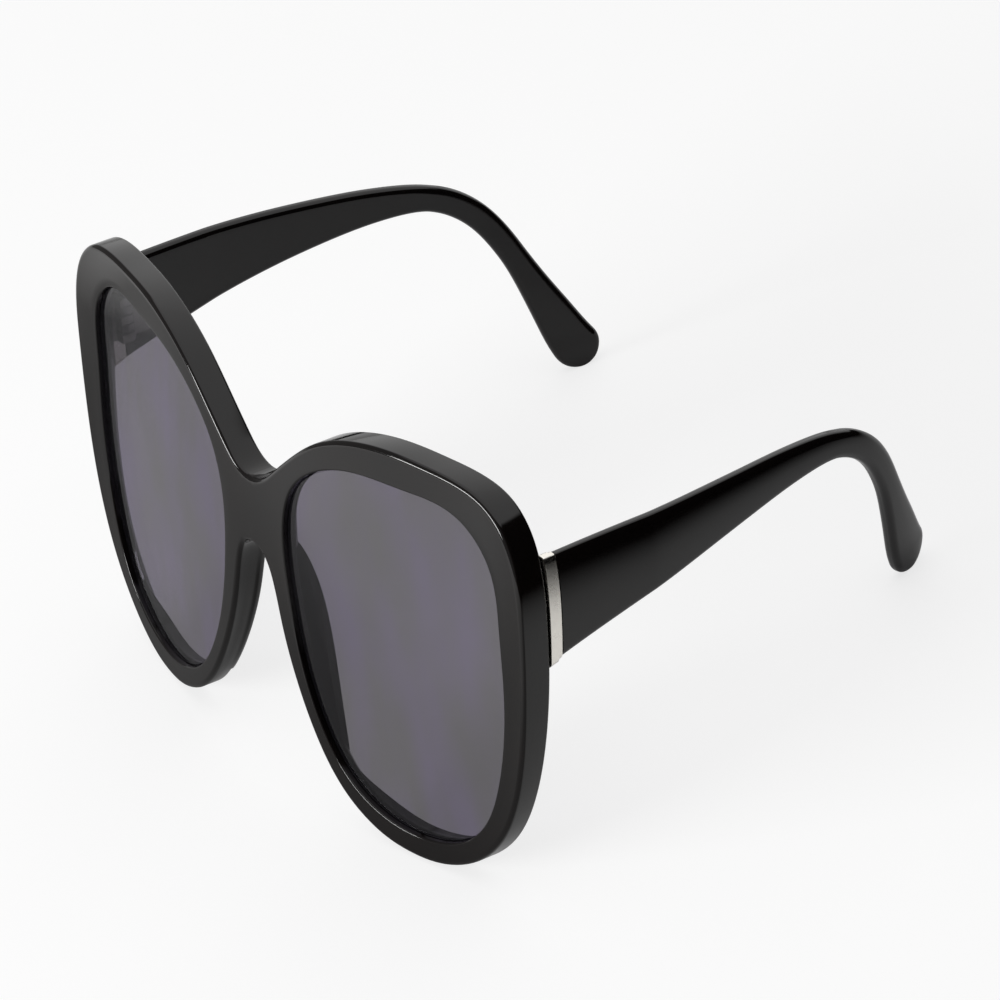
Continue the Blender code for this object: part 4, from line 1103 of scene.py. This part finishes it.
class SUNGLASSES_OT_stage(Operator):
    """Set up the floor, the light and the camera"""

    bl_idname = "sunglasses.stage"
    bl_label = "Stage"
    bl_options = {"UNDO"}

    def execute(self, context):
        scene = context.scene
        stage = scene.sunglasses_stage
        self.add_floor(scene, stage)
        self.add_world(scene, stage)
        self.add_lamp(scene)
        self.add_camera(scene, stage)
        scene.view_settings.view_transform = "Standard"
        return {"FINISHED"}

    def add_floor(self, scene, stage):
        """Make the floor that the pair stands on."""
        reach = stage.floor_size / 2
        corners = [(-reach, -reach, 0.0), (reach, -reach, 0.0), (reach, reach, 0.0), (-reach, reach, 0.0)]
        mesh = bpy.data.meshes.new("floor")
        mesh.from_pydata(corners, [], [(0, 1, 2, 3)])
        mesh.materials.append(sheet_on_table(scene.sunglasses_finish))
        floor = bpy.data.objects.new("floor", mesh)
        scene.collection.objects.link(floor)

    def add_world(self, scene, stage):
        """Surround the pair with a dim room, a large soft light overhead and a pale backdrop.

        The room is black on the wearer's left behind the pair. The camera sees white.
        """
        world = bpy.data.worlds.new("soft_studio")
        world.use_nodes = True
        tree = world.node_tree
        tree.nodes.clear()
        toward = add_node(tree, "ShaderNodeTexCoord").outputs["Generated"]

        def glow(direction, outer, inner, outside, inside):
            """Return the strength by the cosine of the angle to a light's direction."""
            facing = add_node(tree, "ShaderNodeVectorMath", {0: toward, 1: direction},
                              operation="DOT_PRODUCT")
            strengths = (outside * stage.world, inside * stage.world)
            return add_range(tree, facing.outputs["Value"], (outer, inner), strengths, smooth=True)

        lights = add_math(tree, "MAXIMUM", glow(*OVERHEAD_LIGHT), glow(*BACKDROP_LIGHT))
        level = add_math(tree, "MAXIMUM", lights, glow(*ROOM_LIGHT))
        studio = add_node(tree, "ShaderNodeBackground", {"Strength": level})
        white = add_node(tree, "ShaderNodeBackground", {"Strength": 1.0})
        both = add_cut_out(tree, studio.outputs["Background"], white.outputs["Background"])
        add_node(tree, "ShaderNodeOutputWorld", {"Surface": both})
        scene.world = world

    def add_lamp(self, scene):
        """Hang a strip lamp that faces the pair; its power is radiance times pi times its area."""
        data = bpy.data.lights.new("edge_lamp", "AREA")
        data.shape = "RECTANGLE"
        data.size, data.size_y = LAMP_SIZE
        data.energy = LAMP_RADIANCE * math.pi * data.size * data.size_y
        lamp = bpy.data.objects.new("edge_lamp", data)
        lamp.location = LAMP_PLACE
        lamp.rotation_euler = Vector(LAMP_PLACE).to_track_quat("Z", "Y").to_euler()
        scene.collection.objects.link(lamp)

    def add_camera(self, scene, stage):
        """Put the camera at the photograph's place and angle."""
        data = bpy.data.cameras.new("camera")
        data.sensor_fit = "HORIZONTAL"
        data.sensor_width = CAMERA_SENSOR_MM
        data.lens = stage.lens
        data.clip_end = CAMERA_REACH
        camera = bpy.data.objects.new("camera", data)
        turn = (Matrix.Rotation(stage.azimuth, 4, "Z")
                @ Matrix.Rotation(math.pi / 2 - stage.elevation, 4, "X")
                @ Matrix.Rotation(stage.roll, 4, "Z"))
        camera.matrix_world = Matrix.Translation(stage.place) @ turn
        scene.collection.objects.link(camera)
        scene.camera = camera


OPERATORS = (
    SUNGLASSES_OT_front,
    SUNGLASSES_OT_lenses,
    SUNGLASSES_OT_pads,
    SUNGLASSES_OT_temples,
    SUNGLASSES_OT_caps,
    SUNGLASSES_OT_hinges,
    SUNGLASSES_OT_stage,
)
GROUPS = {
    "sunglasses_front": FrontSizes,
    "sunglasses_lens": LensSizes,
    "sunglasses_pad": PadSizes,
    "sunglasses_temple": TempleSizes,
    "sunglasses_cap": CapSizes,
    "sunglasses_hinge": HingeSizes,
    "sunglasses_finish": Finishes,
    "sunglasses_stage": StageSettings,
    "sunglasses_fineness": Fineness,
}


class SUNGLASSES_PT_panel(Panel):
    """Sizes, colours and steps of the sunglasses"""

    bl_idname = "SUNGLASSES_PT_panel"
    bl_label = "Sunglasses"
    bl_space_type = "VIEW_3D"
    bl_region_type = "UI"
    bl_category = "Sunglasses"

    def draw(self, context):
        for operator in OPERATORS:
            self.layout.operator(operator.bl_idname)
        for name, group in GROUPS.items():
            box = self.layout.box()
            box.label(text=group.__doc__.split(".")[0])
            for prop in group.__annotations__:
                box.prop(getattr(context.scene, name), prop)


def register():
    """Register the classes and hang the sizes on the scene."""
    for group in GROUPS.values():
        bpy.utils.register_class(group)
    for made in (*OPERATORS, SUNGLASSES_PT_panel):
        bpy.utils.register_class(made)
    for name, group in GROUPS.items():
        setattr(bpy.types.Scene, name, PointerProperty(type=group))


def unregister():
    """Take the sizes off the scene and unregister the classes."""
    for name in GROUPS:
        delattr(bpy.types.Scene, name)
    for made in (SUNGLASSES_PT_panel, *reversed(OPERATORS)):
        bpy.utils.unregister_class(made)
    for group in reversed(GROUPS.values()):
        bpy.utils.unregister_class(group)


def main():
    """Build the pair and set the stage."""
    register()
    bpy.ops.sunglasses.front()
    bpy.ops.sunglasses.lenses()
    bpy.ops.sunglasses.pads()
    bpy.ops.sunglasses.temples()
    bpy.ops.sunglasses.caps()
    bpy.ops.sunglasses.hinges()
    bpy.ops.sunglasses.stage()


if __name__ == "__main__":
    main()
